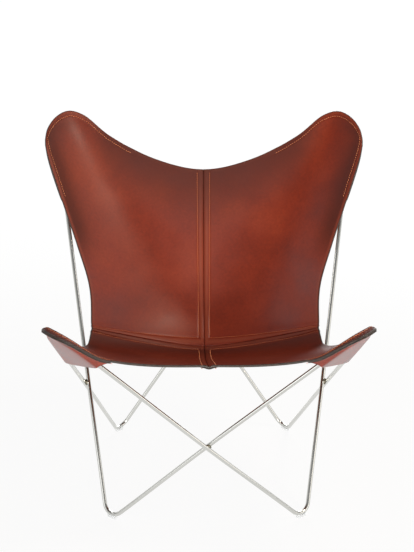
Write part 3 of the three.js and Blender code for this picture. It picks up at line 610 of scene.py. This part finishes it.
# how the leather's colour changes: dye at the rim and the seat's wing tip, painted shade elsewhere, and rub wear with
# painted highlight on ridges and edges
wearAndShade = {
    # painted shade in the crease below the cross seam
    "crease": (20, 30), "creaseFrom": (14, 22),
    # painted shade along the back's top edge, fading towards the wings
    "topShadeReach": 190, "topShadeFade": (0.55, 0.85),
    "wing": (0.72, 0.97), "midWing": (24, 62), "outside": (6, 12),  # where the wing's painted shade eases, leaving painted highlight in mid-wing and outside the stitches
    "dyeBand": (4, 13), "dyeReach": 130,
    "rim": 0.75, "rimBand": (0.5, 4.5),
    "seamRubAndSheen": (0.35, 6.3, 3.5), "edgeRubAndSheen": (0.25, 5, 3),  # rub wear and painted highlight on the seams' raised bands and along the edges: how much, how far in and how wide
}
back = {
    "centreHeight": 717, "setback": 7, "lean": 0.36, "edgeCurve": 1.5,
    "seamCentre": 310, "seamEnd": 390, "seamHalf": 278, "seamCurve": 1.6,
    "creaseDepth": 60, "creaseLength": 33, "wingBlend": (100, 28), "centreEase": 80,
    "wingTop": (-9, 35), "wingShoulder": (24, 18), "wingCorner": (39, -22),  # from the bend: out and up
    "topBends": [(0.35, 0.175), (0.69, 0.574), (0.888, 0.93)],
    "sideBends": [(0.2, -30), (0.42, -15), (0.72, 10)],
    "hem": 2.5, "droop": 0, "groove": 1.2, "dye": 0.9, "bead": 0, "edgeStitch": 13.5,
    "pocketFrom": (0.42, 0.655),  # shares of the top edge and the side where the pocket starts
    "paintedShade": 0, "paintedTopShade": 0.74, "creaseShade": 0, "wingDye": 0, "skive": 0,  # the first three are painted shade: over the whole panel, along the back's top edge and in the crease; then dye at the wing tip, and thinning
    # painted shade on the outer wing, where it starts, and how much of it eases where highlights fall
    "wingShade": 0.78, "wingShadeFrom": (0.25, 0.5), "wingShine": 0.62,
}
seat = {
    "frontHeight": 421, "setback": 60, "frontCurve": 1.4,
    "rise": (30, 54), "crease": (40, 25), "blend": 10,
    "overhang": 13, "notchIn": 11, "notchLead": 24,
    "frontBends": [(0.38, 0.667), (0.66, 0.33)], "tipTurns": [0.95, 0.72, 0.48], "cornerTurn": 0.25,
    "hem": 3, "droop": 16, "groove": 3.6, "dye": 3.2, "bead": 0.8, "edgeStitch": 11, "pocketFrom": (0.55, 0.56),
    # the first three are painted shade: over the whole seat and in its crease below the cross seam; wingDye is dye at
    # the wing tip
    "paintedShade": 0.38, "paintedTopShade": 0, "creaseShade": 0.34, "wingDye": 0.95, "skive": 1.6,  # thinned at the tip
    # painted shade on the seat's wing
    "wingShade": 0.8, "wingShadeFrom": (0.02, 0.15), "wingShine": 0,
}


def softMin(a, b, blend):
    return (a + b - math.hypot(a - b, blend)) / 2


def softMax(a, b, blend):
    return (a + b + math.hypot(a - b, blend)) / 2


def eased(x):
    return math.hypot(x, back["centreEase"]) - back["centreEase"]


def ramped(low, high, x):
    t = min(max((x - low) / (high - low), 0), 1)
    return t * t * (3 - 2 * t)


topPlane = topBend["right"]["normal"] * (-1 if topBend["right"]["normal"].y > 0 else 1)
seatPlane = seatBend["right"]["normal"] * (-1 if seatBend["right"]["normal"].z < 0 else 1)
topApex, seatApex = topBend["right"]["apex"], seatBend["right"]["apex"]
wingTop, wingShoulder, wingCorner = (Vector((topApex.x + out, 0, topApex.z + up)) for out, up in
                                     (back["wingTop"], back["wingShoulder"], back["wingCorner"]))


def seamHeight(x):
    return mix(back["seamCentre"], back["seamEnd"], (x / back["seamHalf"]) ** back["seamCurve"])


def backDepth(x, z):
    # hangs from the top edge, rounds into the seat, and lies on the plane of the two rods in its pocket
    topZ = mix(back["centreHeight"], wingTop.z, (x / wingTop.x) ** back["edgeCurve"])
    crease = back["creaseDepth"] * math.exp(-(z - seamHeight(x)) / back["creaseLength"])
    hung = topTip["right"].y - back["setback"] - back["lean"] * (topZ - z) - crease
    over = hide["rodToMiddle"] - topPlane.x * (eased(x) - eased(topApex.x)) - topPlane.z * (z - topApex.z)
    climb = min(max((z - back["seamCentre"]) / (topApex.z - back["seamCentre"]), 0), 1)
    return softMin(hung, topApex.y + over / topPlane.y, mix(*back["wingBlend"], climb))


def seamDepth(x):
    return backDepth(x, seamHeight(x))


def frontDepth(x):
    return seatTip["right"].y + seat["setback"] * (1 - (x / seatTip["right"].x) ** seat["frontCurve"])


def roundSeatTip(share):
    bent = seatBend["right"]
    out = (onBend(bent, share) - bent["centre"]).normalized()
    return bent["centre"] + out * (bent["radius"] + rodFrame["radius"] + seat["overhang"])


seatTipOut = roundSeatTip(0.5)


def frontHeight(x):
    share = x / seatTipOut.x
    return mix(seat["frontHeight"], seatTipOut.z, (share ** 5 + share ** 2) / 2)


def seatHeight(x, y):
    # falls back from the front edge, turns up into the back, and lies on the plane of the two rods in its pocket
    share = x / back["seamHalf"]
    rise = mix(*seat["rise"], share)
    length = mix(*seat["crease"], min(share, 1))
    rear = seamDepth(x)
    slope = (frontHeight(x) + rise - seamHeight(x)) / (rear - frontDepth(x))
    hung = frontHeight(x) - slope * (y - frontDepth(x)) + rise * math.exp(min((y - rear) / length, 1))
    over = hide["rodToMiddle"] - seatPlane.x * (x - seatApex.x) - seatPlane.y * (y - seatApex.y)
    return softMax(hung, seatApex.z + over / seatPlane.z, seat["blend"])


slopeStep = 0.5


def slopes(surface, a, b):
    # how fast a surface rises along its two axes; it is level across the middle of the chair
    across = 0 if a < slopeStep else (surface(a + slopeStep, b) - surface(a - slopeStep, b)) / (2 * slopeStep)
    return across, (surface(a, b + slopeStep) - surface(a, b - slopeStep)) / (2 * slopeStep)


def backSurface(x, z):
    overX, overZ = slopes(backDepth, x, z)
    return Vector((x, backDepth(x, z), z)), Vector((overX, -1, overZ)).normalized()


def seatSurface(x, y):
    overX, overY = slopes(seatHeight, x, y)
    return Vector((x, y, seatHeight(x, y))), Vector((-overX, -overY, 1)).normalized()


def seamNormal(x):
    upper = backSurface(x, seamHeight(x))[1]
    lower = seatSurface(x, seamDepth(x) - hide["seamGap"] / 2)[1]
    return (upper + lower).normalized()


def smoothLine(points, before=None, after=None, steps=30):
    # an even, smooth line through the points, as many short steps and their running length
    ends = [before or points[0] * 2 - points[1]] + list(points) + [after or points[-1] * 2 - points[-2]]
    line = []
    for k in range(1, len(ends) - 2):
        p0, p1, p2, p3 = ends[k - 1:k + 3]
        d0, d1, d2 = (math.sqrt(max((b - a).length, 1e-6)) for a, b in ((p0, p1), (p1, p2), (p2, p3)))
        m1 = ((p1 - p0) / d0 - (p2 - p0) / (d0 + d1) + (p2 - p1) / d1) * d1
        m2 = ((p2 - p1) / d1 - (p3 - p1) / (d1 + d2) + (p3 - p2) / d2) * d1
        for step in range(steps):
            t = step / steps
            line.append(p1 + m1 * t + (p2 * 3 - p1 * 3 - m1 * 2 - m2) * t ** 2 + (p1 * 2 - p2 * 2 + m1 + m2) * t ** 3)
    line.append(points[-1].copy())
    return measured(line)


def measured(line):
    run = [0.0]
    for a, b in zip(line, line[1:]):
        run.append(run[-1] + (b - a).length)
    return {"points": line, "run": run, "length": run[-1]}


def alongLine(line, distance):
    points, run = line["points"], line["run"]
    distance = min(max(distance, 0), line["length"])
    low, high = 0, len(run) - 1
    while high - low > 1:
        middle = (low + high) // 2
        low, high = (middle, high) if run[middle] <= distance else (low, middle)
    span = run[high] - run[low]
    share = (distance - run[low]) / span if span else 0
    return mix(points[low], points[high], share)


def alongShare(line, share):
    return alongLine(line, share * line["length"])


def sideRod(z):
    top, foot = topTip["right"], frontFoot["right"]
    return mix(top, foot, (top.z - z) / (top.z - foot.z))


def flat(p):
    return Vector((p.x, p.y, 0))


halfSeam = hide["seamGap"] / 2
topPoints = [Vector((halfSeam, 0, back["centreHeight"]))]
topPoints += [Vector((wingTop.x * across, 0, mix(back["centreHeight"], wingTop.z, up)))
              for across, up in back["topBends"]]
topPoints += [wingTop, wingShoulder, wingCorner]
sidePoints = [Vector((back["seamHalf"], 0, back["seamEnd"]))]
for share, out in back["sideBends"]:
    z = mix(back["seamEnd"], wingCorner.z, share)
    sidePoints.append(Vector((sideRod(z).x + out, 0, z)))
sidePoints.append(wingCorner)
topLine = smoothLine(topPoints, mirrored(topPoints[1]), sidePoints[-2])
sideLine = smoothLine(sidePoints, None, wingShoulder)

seatCorner = flat(roundSeatTip(seat["cornerTurn"]))
wingTip = flat(roundSeatTip(0.55))
frontPoints = [Vector((halfSeam, seatTip["right"].y + seat["setback"], 0))]
frontPoints += [Vector((seatTipOut.x * across, seatTip["right"].y + seat["setback"] * rear, 0))
                for across, rear in seat["frontBends"]]
frontPoints += [flat(roundSeatTip(turn)) for turn in seat["tipTurns"]] + [seatCorner]
seamEnd = Vector((back["seamHalf"], seamDepth(back["seamHalf"]), 0))
notchY = seamEnd.y - seat["notchLead"]
notchShare = (topTip["right"].y - notchY) / (topTip["right"].y - frontFoot["right"].y)
notch = Vector((mix(topTip["right"], frontFoot["right"], notchShare).x - seat["notchIn"], notchY, 0))
wingPoints = [seamEnd, notch, (notch + seatCorner) / 2, seatCorner]
frontLine = smoothLine(frontPoints, mirrored(frontPoints[1]), wingPoints[-2])
wingLine = smoothLine(wingPoints, None, frontPoints[-2])


def seamX(share):
    return mix(halfSeam, back["seamHalf"], share)


def fourEdges(low, high, left, right):
    a, b, c, d = low(0), low(1), high(0), high(1)

    def inside(u, v):
        return (low(u) * (1 - v) + high(u) * v + left(v) * (1 - u) + right(v) * u
                - a * ((1 - u) * (1 - v)) - b * (u * (1 - v)) - c * ((1 - u) * v) - d * (u * v))
    return inside


sideEase = 9  # the sides run into the seam over the first ninth of their length


def backSide(v):
    p = alongShare(sideLine, v)
    return Vector((p.x, 0, mix(back["seamEnd"] + halfSeam, p.z, min(v * sideEase, 1))))


def seatSide(v):
    p = alongShare(wingLine, v)
    return Vector((p.x, mix(seamEnd.y - halfSeam, p.y, min(v * sideEase, 1)), 0))


backPlan = fourEdges(
    lambda u: Vector((seamX(u), 0, seamHeight(seamX(u)) + halfSeam)),
    lambda u: alongShare(topLine, u),
    lambda v: Vector((halfSeam, 0, mix(seamHeight(halfSeam) + halfSeam, back["centreHeight"], v))),
    backSide)
seatPlan = fourEdges(
    lambda u: Vector((seamX(u), seamDepth(seamX(u)) - halfSeam, 0)),
    lambda u: alongShare(frontLine, u),
    lambda v: Vector((halfSeam, mix(seamDepth(halfSeam) - halfSeam, frontLine["points"][0].y, v), 0)),
    seatSide)

panels = {
    "back": {"plan": backPlan, "surface": lambda p: backSurface(p.x, p.z), "shape": back},
    "seat": {"plan": seatPlan, "surface": lambda p: seatSurface(p.x, p.y), "shape": seat},
}


def bell(x, width):
    return math.exp(-(x / width) ** 2)


def spans(kind, u, v):
    # width and length of the panel, through one of its points
    plan = panels[kind]["plan"]
    return (plan(1, v) - plan(0, v)).length, (plan(u, 1) - plan(u, 0)).length


def grooveAt(shape, fromSeam, v):
    return shape["groove"] * bell(fromSeam, hide["grooveWidth"]) * ramped(*hide["grooveFrom"], v)


def darkenedAndShaded(shape, u, v, fromTip, fromCross, fromEnd, border):
    # how dark the leather is drawn: dye at the rim and near the seat's wing tip, and painted shade over the seat, in
    # the crease, along the back's top edge and on the wings
    middle, spreads = wearAndShade["crease"]
    creaseShade = shape["creaseShade"] * bell(fromCross - middle, spreads) * ramped(*wearAndShade["creaseFrom"], fromCross)
    paintedTopShade = shape["paintedTopShade"] * (1 - ramped(0, wearAndShade["topShadeReach"], fromEnd))
    paintedTopShade *= 1 - ramped(*wearAndShade["topShadeFade"], u)
    onWingShade = shape["wingShade"] * ramped(*wearAndShade["wing"], u) * ramped(*shape["wingShadeFrom"], v)
    onWingShade *= 1 - shape["wingShine"] * max(ramped(*wearAndShade["midWing"], border), 1 - ramped(*wearAndShade["outside"], border))
    dyed = shape["wingDye"] * (1 - ramped(*wearAndShade["dyeBand"], border)) * bell(fromTip, wearAndShade["dyeReach"])
    return max(wearAndShade["rim"] * (1 - ramped(*wearAndShade["rimBand"], border)), shape["paintedShade"] + creaseShade, paintedTopShade, onWingShade, dyed)


def panelSpot(kind, u, v, side, still=False):
    # middle of the leather at a point of the panel: pressed by its stitches, hemmed at its pocket, a little uneven
    panel = panels[kind]
    shape = panel["shape"]
    p = panel["plan"](u, v)
    wide, long = spans(kind, u, v)
    fromSeam, fromCross, fromEnd, fromSide = u * wide, v * long, (1 - v) * long, (1 - u) * wide
    at, normal = panel["surface"](p)
    if fromCross < hide["seamTurn"]:
        normal = mix(seamNormal(p.x), normal, ramped(0, hide["seamTurn"], fromCross)).normalized()
    if still:
        return {"at": at, "normal": normal}
    lift = 0
    sewnAt, reach = hide["seamStitch"], shape["edgeStitch"]
    for away in (fromSeam, fromCross):
        if away < sewnAt:
            lift = max(lift, hide["pillow"] * math.sin(math.pi * away / sewnAt) ** hide["fullness"])
        lift -= hide["pressed"] * bell(away - sewnAt, hide["seamDent"])
    lift -= grooveAt(shape, fromSeam, v)
    (early, late), (outside, inside) = hide["pocketFade"], hide["hemFrom"]
    overTop, overSide = (ramped(start + early, start + late, share)
                         for start, share in zip(shape["pocketFrom"], (u, v)))
    for away, sewn in ((fromEnd, overTop), (fromSide, overSide)):
        lift -= sewn * hide["pressed"] * bell(away - reach, hide["edgeDent"])
    edge = min(fromEnd + hide["hemFade"] * (1 - overTop), fromSide + hide["hemFade"] * (1 - overSide))
    lift -= shape["hem"] * (1 - ramped(outside, reach + inside, edge))
    border, fromTip = min(fromEnd, fromSide), (p - wingTip).length
    if shape["droop"]:
        lift -= shape["droop"] * bell(fromTip, hide["droopReach"]) * (1 - ramped(*hide["droopFrom"], border))
    thinned = shape["skive"] / 2 * bell(fromTip, hide["skiveReach"])
    lift -= thinned
    height, middle, spreads, spacing = hide["creases"]
    lift += (height * ramped(*hide["creasesFrom"], u) * bell(fromCross - middle, spreads)
             * math.sin(2 * math.pi * fromCross / spacing))
    x = p.x if side == "right" else -p.x
    shift, size, part = hide["finer"]
    soft = noise.noise(Vector((x, at.y, at.z)) / hide["unevenSize"]) + part * noise.noise(
        Vector((x + shift, at.y, at.z)) / (size * hide["unevenSize"]))
    inner = min(fromSeam, fromCross)
    lift += hide["uneven"] * soft * ramped(*hide["unevenFrom"], min(inner, border))
    # the rim attribute holds dye and painted shade; the second holds rub wear and painted highlight on the bands
    # beside the seams and along the edges
    rubs = ((inner, *wearAndShade["seamRubAndSheen"]), (border, *wearAndShade["edgeRubAndSheen"]))
    return {"at": at + normal * lift, "normal": normal,
            "rim": darkenedAndShaded(shape, u, v, fromTip, fromCross, fromEnd, border),
            "rubbed": sum(much * bell(away - where, width) for away, much, where, width in rubs),
            "bead": shape["bead"] * bell(fromEnd, hide["beadWidth"]) - thinned,
            "near": min(inner, border), "cut": border}


seamMarks = [0, 0.5, 1.3, 2.4, 4, 6, 8.5, 11, 12.6, 13.6, 14.4, 15.4, 17, 20, 24]
edgeMarks = [0, 0.5, 1.2, 2.2, 3.6, 5.5, 7.8, 9.6, 10.6, 11.4, 12.4, 13.2, 14, 15.2, 17.5, 21, 26]


def spread(index, count, length):
    # grid lines crowd where the seams and the stitched edges are
    if index < len(seamMarks):
        return seamMarks[index] / length
    fromEnd = count - index
    if fromEnd < len(edgeMarks):
        return 1 - edgeMarks[fromEnd] / length
    first, last = seamMarks[-1] / length, 1 - edgeMarks[-1] / length
    inner = count - len(seamMarks) - len(edgeMarks) + 2
    return mix(first, last, (index - len(seamMarks) + 1) / inner)


def panelAt(kind, i, j, columns, rows):
    wide, long = spans(kind, i / columns, j / rows)
    return spread(i, columns, wide), spread(j, rows, long)


def leatherSheet(columns, rows, thickness, spotAt, rounded, side, dye=0):
    # a grid and its copy, drawn apart to the leather's two faces, with its rim between them
    bm = bmesh.new()
    rimShadeLayer = bm.verts.layers.float.new("rim")
    rubbedSheenLayer = bm.verts.layers.float.new("rubbed")
    bmesh.ops.create_grid(bm, x_segments=columns, y_segments=rows, size=0.5)
    upper = list(bm.faces)
    lower = bmesh.ops.extrude_face_region(bm, geom=upper, use_keep_orig=True)["geom"]
    lower = [g for g in lower if isinstance(g, bmesh.types.BMFace)]
    dyedVerts = set()
    for faces, out, material in ((upper, 1, 0), (lower, -1, 1)):
        for face in faces:
            face.material_index = material
        for v in {v for face in faces for v in face.verts}:
            i, j = round((v.co.x + 0.5) * columns), round((v.co.y + 0.5) * rows)
            spot = spotAt(i, j)
            near = spot.get("near", 1e9)
            half = thickness / 2 + spot.get("bead", 0)
            if near < rounded:
                half -= rounded - math.sqrt(max(rounded ** 2 - (rounded - near) ** 2, 0))
            v.co = place(sided(spot["at"] + spot["normal"] * (half * out), side))
            # rim: dye and painted shade; the next attribute: rub wear and painted highlight
            v[rimShadeLayer] = spot.get("rim", 0)
            if spot.get("cut", 1e9) < dye:
                dyedVerts.add(v)
            v[rubbedSheenLayer] = spot.get("rubbed", 0)
    faceSet = set(upper) | set(lower)
    for face in bm.faces:
        face.smooth = True
        if face not in faceSet or set(face.verts) <= dyedVerts:
            face.material_index = 2
    bmesh.ops.recalc_face_normals(bm, faces=bm.faces)
    return bm


def middleLines(spotAt, columns, rows):
    return [[spotAt(i, j)["at"] for i in range(columns + 1)] for j in range(rows + 1)]


panelGrid = {"back": (72, 84), "seat": (72, 76)}
cutSteps = 30  # steps of the grid of each sheet's middle, kept in cutLines
slingPieces, cutLines = {}, {}
for kind, (columns, rows) in panelGrid.items():
    for side in ("left", "right"):
        def spotAt(i, j):
            return panelSpot(kind, *panelAt(kind, i, j, columns, rows), side)

        def stillAt(i, j):
            return panelSpot(kind, i / cutSteps, j / cutSteps, side, still=True)

        dye = panels[kind]["shape"]["dye"]
        bm = leatherSheet(columns, rows, hide["thickness"], spotAt, hide["edgeRound"], side, dye)
        name = f"{kind}_panel_{side}"
        cutLines[name] = middleLines(stillAt, cutSteps, cutSteps)
        slingPieces[name] = addPiece("leather_" + name, bm, [grainLeather, fleshSide, dyedEdge], [name])
print("panels laid:", len(slingPieces))

# Pockets: a second sheet behind each tip, sewn to the rim and drawn round both rods

pockets = {
    "thickness": 3.0, "rimGap": 0.15, "rimInset": 1.2, "insetFrom": (0.8, 1), "sewn": 9,
    "slack": {"back": 4.2, "seat": 2.2},  # room round the rods
    "reach": {"back": (158, 182), "seat": (115, 215)},  # along the two rods from the middle of the tip
    "shoulder": (0.95, 0.25), "tip": 0.2,
    "bendRows": (0.32, 0.55, 0.78, 1), "runRows": (0.25, 0.5, 0.75, 1),
    "columns": 13, "rimSteps": 40,
}


def inset(kind, u, v, away, across):
    wide, long = spans(kind, u, v)
    return away / (wide if across else long)


def rimLine(kind, onSide):
    # the panel's rim from the wing's corner to the end of the pocket, with what lies under it
    start = panels[kind]["shape"]["pocketFrom"][1 if onSide else 0]
    spots = []
    for step in range(pockets["rimSteps"] + 1):
        share = mix(1, start, step / pockets["rimSteps"])
        u, v = (1, share) if onSide else (share, 1)
        away = pockets["rimInset"]
        spots.append(panelSpot(kind, u - inset(kind, u, v, away, True) * ramped(*pockets["insetFrom"], u),
                               v - inset(kind, u, v, away, False) * ramped(*pockets["insetFrom"], v), "right"))
    return spots


def rodFrom(path, side):
    return measured([sided(p, side) for p in path])


def pocketCage(kind, rods, plane, bent):
    # rows of points from the wing's rim over the rods' bend and down along both rods
    under = hide["thickness"] / 2 + pockets["rimGap"] + pockets["thickness"] / 2
    stand = rodFrame["radius"] + pockets["slack"][kind] + pockets["thickness"] / 2
    spots = rimLine(kind, False)[::-1] + rimLine(kind, True)[1:]
    rim = measured([s["at"] - s["normal"] * under for s in spots])
    bendLength = bent["radius"] * bent["sweep"]

    def onRod(rod, distance):
        at = alongLine(rods[rod], distance)
        heading = (alongLine(rods[rod], distance + 1) - alongLine(rods[rod], max(distance - 1, 0))).normalized()
        out = plane.cross(heading).normalized()
        return at, heading, -out if out.dot(bent["inward"]) > 0 else out

    def straightOut(at, heading, out):
        for k in range(1, len(rim["points"])):
            before, after = ((rim["points"][q] - at).dot(heading) for q in (k - 1, k))
            if before * after <= 0 and (rim["points"][k] - at).dot(out) > 0:
                return mix(rim["run"][k - 1], rim["run"][k], before / (before - after))
        return rim["length"]

    axis = straightOut(bent["apex"], bent["along"], -bent["inward"])
    bendEnds = [straightOut(*onRod(rod, bendLength)) for rod in (0, 1)]
    rimEnds = [0, rim["length"]]

    def rimNormal(distance):
        share = distance / rim["length"]
        return spots[min(int(share * (len(spots) - 1) + 0.5), len(spots) - 1)]["normal"]

    tip = []
    for column in range(pockets["columns"]):
        where = 1 - 2 * column / (pockets["columns"] - 1)
        tip.append(alongLine(rim, mix(axis, bendEnds[0 if where > 0 else 1], abs(where) * pockets["tip"])))
    lines = [tip]
    rows = [(share, 0) for share in pockets["bendRows"]] + [(1, share) for share in pockets["runRows"]]
    aside, behind = pockets["shoulder"]
    reach = pockets["reach"][kind]
    for curved, straight in rows:
        halves = []
        for rod in (0, 1):
            at, heading, out = onRod(rod, mix(bendLength, reach[rod], straight) if straight else bendLength * curved)
            along = mix(bendEnds[rod], rimEnds[rod], straight) if straight else mix(axis, bendEnds[rod], curved)
            edge = alongLine(rim, along)
            beside = at + out * (stand * aside) - plane * (stand * behind)
            turning = at + (out - plane).normalized() * stand
            normal = rimNormal(along)
            inwards = beside - edge
            inwards = inwards - normal * inwards.dot(normal)
            sewn = edge + inwards.normalized() * min(pockets["sewn"], 0.5 * inwards.length)
            halves.append([edge, sewn, (sewn + beside) / 2, beside, turning, at - plane * stand])
        lines.append(halves[0] + [(halves[0][-1] + halves[1][-1]) / 2] + halves[1][::-1])
    return lines


def addPocket(kind, side, rods, plane, bent):
    lines = pocketCage(kind, rods, plane, bent)
    columns, rows = len(lines[0]) - 1, len(lines) - 1
    bm = bmesh.new()
    bmesh.ops.create_grid(bm, x_segments=columns, y_segments=rows, size=0.5)
    for v in bm.verts:
        v.co = place(sided(lines[round((v.co.y + 0.5) * rows)][round((v.co.x + 0.5) * columns)], side))
    if (side == "left") != (kind == "back"):  # flesh side in, to the rods
        bmesh.ops.reverse_faces(bm, faces=bm.faces)
    for face in bm.faces:
        face.smooth = True
    node = ("top" if kind == "back" else "seat") + "_pocket_" + side
    cutLines[node] = lines
    piece = addPiece("leather_" + node, bm, [fleshSide, pocketLeather, dyedEdge], [node])
    smooth = piece.modifiers.new("smooth", "SUBSURF")
    smooth.levels = smooth.render_levels = 3
    thick = piece.modifiers.new("thickness", "SOLIDIFY")
    thick.thickness = pockets["thickness"] * mm
    thick.offset = 0
    thick.material_offset = 1
    thick.material_offset_rim = 2
    return piece


for side, other in bothSides:
    rods = [rodFrom(legPaths["rear_" + other], side), rodFrom(legPaths["front_" + side], side)]
    slingPieces["top_pocket_" + side] = addPocket("back", side, rods, topPlane, topBend["right"])
    rods = [rodFrom(legPaths["front_" + other][::-1], side), rodFrom(legPaths["rear_" + side][::-1], side)]
    slingPieces["seat_pocket_" + side] = addPocket("seat", side, rods, seatPlane, seatBend["right"])
print("pockets drawn over the tips")

# Strips of thinner leather behind the seams

strips = {
    "thickness": 2.0, "gap": 0.15, "halfWidth": 19, "turnWidth": 4, "columns": 16, "rows": 60,
    "start": {"back": -13, "seat": 14}, "short": 1.5,  # from the cross seam, and short of the panel's edge
    "narrowFrom": 0.93, "narrowBy": 0.45,  # at the seat's front edge
    "across": (0.0705, 0.992),  # cross strip, from the edge of the centre strip to near the seam's end
}
stripDepth = hide["thickness"] / 2 + strips["gap"] + strips["thickness"] / 2


def stripSpot(kind, fromSeam, fromCross):
    # fromCross counts from the cross seam, and below zero it lies on the other panel
    on = kind if fromCross >= 0 else ("seat" if kind == "back" else "back")
    v = abs(fromCross) / spans(on, 0, 0)[1]
    away = max(abs(fromSeam), halfSeam)
    spot = panelSpot(on, away / spans(on, 0, v)[0], v, "right", still=True)
    at, normal = spot["at"], spot["normal"]
    deep = stripDepth + grooveAt(panels[on]["shape"], fromSeam, v)
    aside = normal.x * (-1 if fromSeam < 0 else 1) * ramped(0, strips["turnWidth"], abs(fromSeam))
    turned = Vector((aside, normal.y, normal.z)).normalized()
    return {"at": Vector((fromSeam / away * at.x, at.y, at.z)) - turned * deep, "normal": turned}


def addStrip(name, columns, rows, spotAt, side):
    bm = leatherSheet(columns, rows, strips["thickness"], spotAt, 0, side)
    cutLines[name] = middleLines(spotAt, columns, rows)
    slingPieces[name] = addPiece("leather_" + name, bm, [fleshSide, grainLeather, dyedEdge], [name])


for kind, first in strips["start"].items():
    columns, rows = strips["columns"], strips["rows"]
    last = spans(kind, 0, 0)[1] - strips["short"]

    def spotAt(i, j):
        narrow = 1 - strips["narrowBy"] * ramped(strips["narrowFrom"], 1, j / rows) if kind == "seat" else 1
        fromSeam = mix(-1, 1, i / columns) * strips["halfWidth"] * narrow
        return stripSpot(kind, fromSeam, mix(first, last, j / rows))

    addStrip("centre_strip_" + kind, columns, rows, spotAt, "right")

for side in ("left", "right"):
    columns, rows = strips["rows"], strips["columns"]

    def spotAt(i, j):
        fromCross = mix(-strips["halfWidth"], strips["halfWidth"], j / rows)
        kind = "back" if fromCross >= 0 else "seat"
        u = mix(*strips["across"], i / columns)
        spot = panelSpot(kind, u, abs(fromCross) / spans(kind, u, 0)[1], side, still=True)
        return {"at": spot["at"] - spot["normal"] * stripDepth, "normal": spot["normal"]}

    addStrip("cross_strip_" + side, columns, rows, spotAt, side)
print("strips laid behind the seams")

# Stitching: one small stitch after another along each line

stitch = {
    "pitch": 6.0, "length": 4.6, "radius": 0.75, "sunk": 0.1,
    "thick": {"cross_upper": 0.65, "cross_lower": 0.65, "seat_seam": 1.6},  # lines sewn finer or heavier
    "down": (0.045, 0.985), "across": (0.05, 0.985),  # start and end on the panel, as shares
    "lineSteps": 120, "sides": 6, "rings": 4,
}


def addStitches(name, kind, where, side, node, thick):
    bm = bmesh.new()
    steps = stitch["lineSteps"]
    spots = [panelSpot(kind, *where(step / steps), side) for step in range(steps + 1)]
    line = measured([s["at"] for s in spots])
    onBack = pockets["thickness"] + pockets["rimGap"] if "pocket" in node else strips["thickness"] + strips["gap"]
    for k in range(int(line["length"] / stitch["pitch"])):
        middle = (k + 0.5) * stitch["pitch"]
        heading = (alongLine(line, middle + 1) - alongLine(line, middle - 1)).normalized()
        normal = spots[min(int(middle / line["length"] * steps + 0.5), steps)]["normal"]
        lie = sided(heading, side).to_track_quat("Z", "Y").to_matrix().to_4x4()
        for way, behind in ((1, 0), (-1, onBack)):
            out = hide["thickness"] / 2 - stitch["sunk"] + thick * 0.5 + behind
            p = place(sided(alongLine(line, middle) + normal * (out * way), side))
            size = Matrix.Diagonal((thick * mm, thick * mm, stitch["length"] / 2 * mm, 1))
            bmesh.ops.create_uvsphere(bm, u_segments=stitch["sides"], v_segments=stitch["rings"], radius=1,
                                      matrix=Matrix.Translation(p) @ lie @ size)
    for face in bm.faces:
        face.smooth = True
    return addPiece("stitches_" + name, bm, [orangeThread], [node])


def downSeam(kind):
    def where(t):
        v = mix(*stitch["down"], t)
        return inset(kind, 0, v, hide["seamStitch"], True), v
    return where


def acrossSeam(kind):
    def where(t):
        u = mix(*stitch["across"], t)
        return u, inset(kind, u, 0, hide["seamStitch"], False)
    return where


def roundPocket(kind):
    startTop, startSide = panels[kind]["shape"]["pocketFrom"]
    reach = panels[kind]["shape"]["edgeStitch"]
    corner = (1 - inset(kind, 1, 1, reach, True), 1 - inset(kind, 1, 1, reach, False))

    def where(t):
        if t < 0.5:
            u = mix(startTop, corner[0], t * 2)
            return u, 1 - inset(kind, u, 1, reach, False)
        v = mix(corner[1], startSide, t * 2 - 1)
        return 1 - inset(kind, 1, v, reach, True), v
    return where


stitchRuns = {
    "back_seam": ("back", downSeam("back")),
    "seat_seam": ("seat", downSeam("seat")),
    "cross_upper": ("back", acrossSeam("back")),
    "cross_lower": ("seat", acrossSeam("seat")),
    "top_pocket": ("back", roundPocket("back")),
    "seat_pocket": ("seat", roundPocket("seat")),
}
stitchPieces = {}
for name, (kind, where) in stitchRuns.items():
    for side in ("left", "right"):
        thick = stitch["radius"] * stitch["thick"].get(name, 1)
        sewn = addStitches(f"{name}_{side}", kind, where, side, f"thread_{name}_{side}", thick)
        stitchPieces.setdefault(f"{kind}_panel_{side}", []).append(sewn)
print("stitches set:", 2 * len(stitchRuns), "lines")

# Leather sheets as they were cut: the loop only reads which side each sheet is on, and measures nothing


for name, lines in cutLines.items():
    end = name.rsplit("_", 1)[1]
    other = "left" if end == "right" else "right"
    if name.startswith("centre"):
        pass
    elif name.startswith("cross"):
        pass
    elif name.startswith("seat"):  # the rods that meet at each tip come from opposite sides
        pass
    else:
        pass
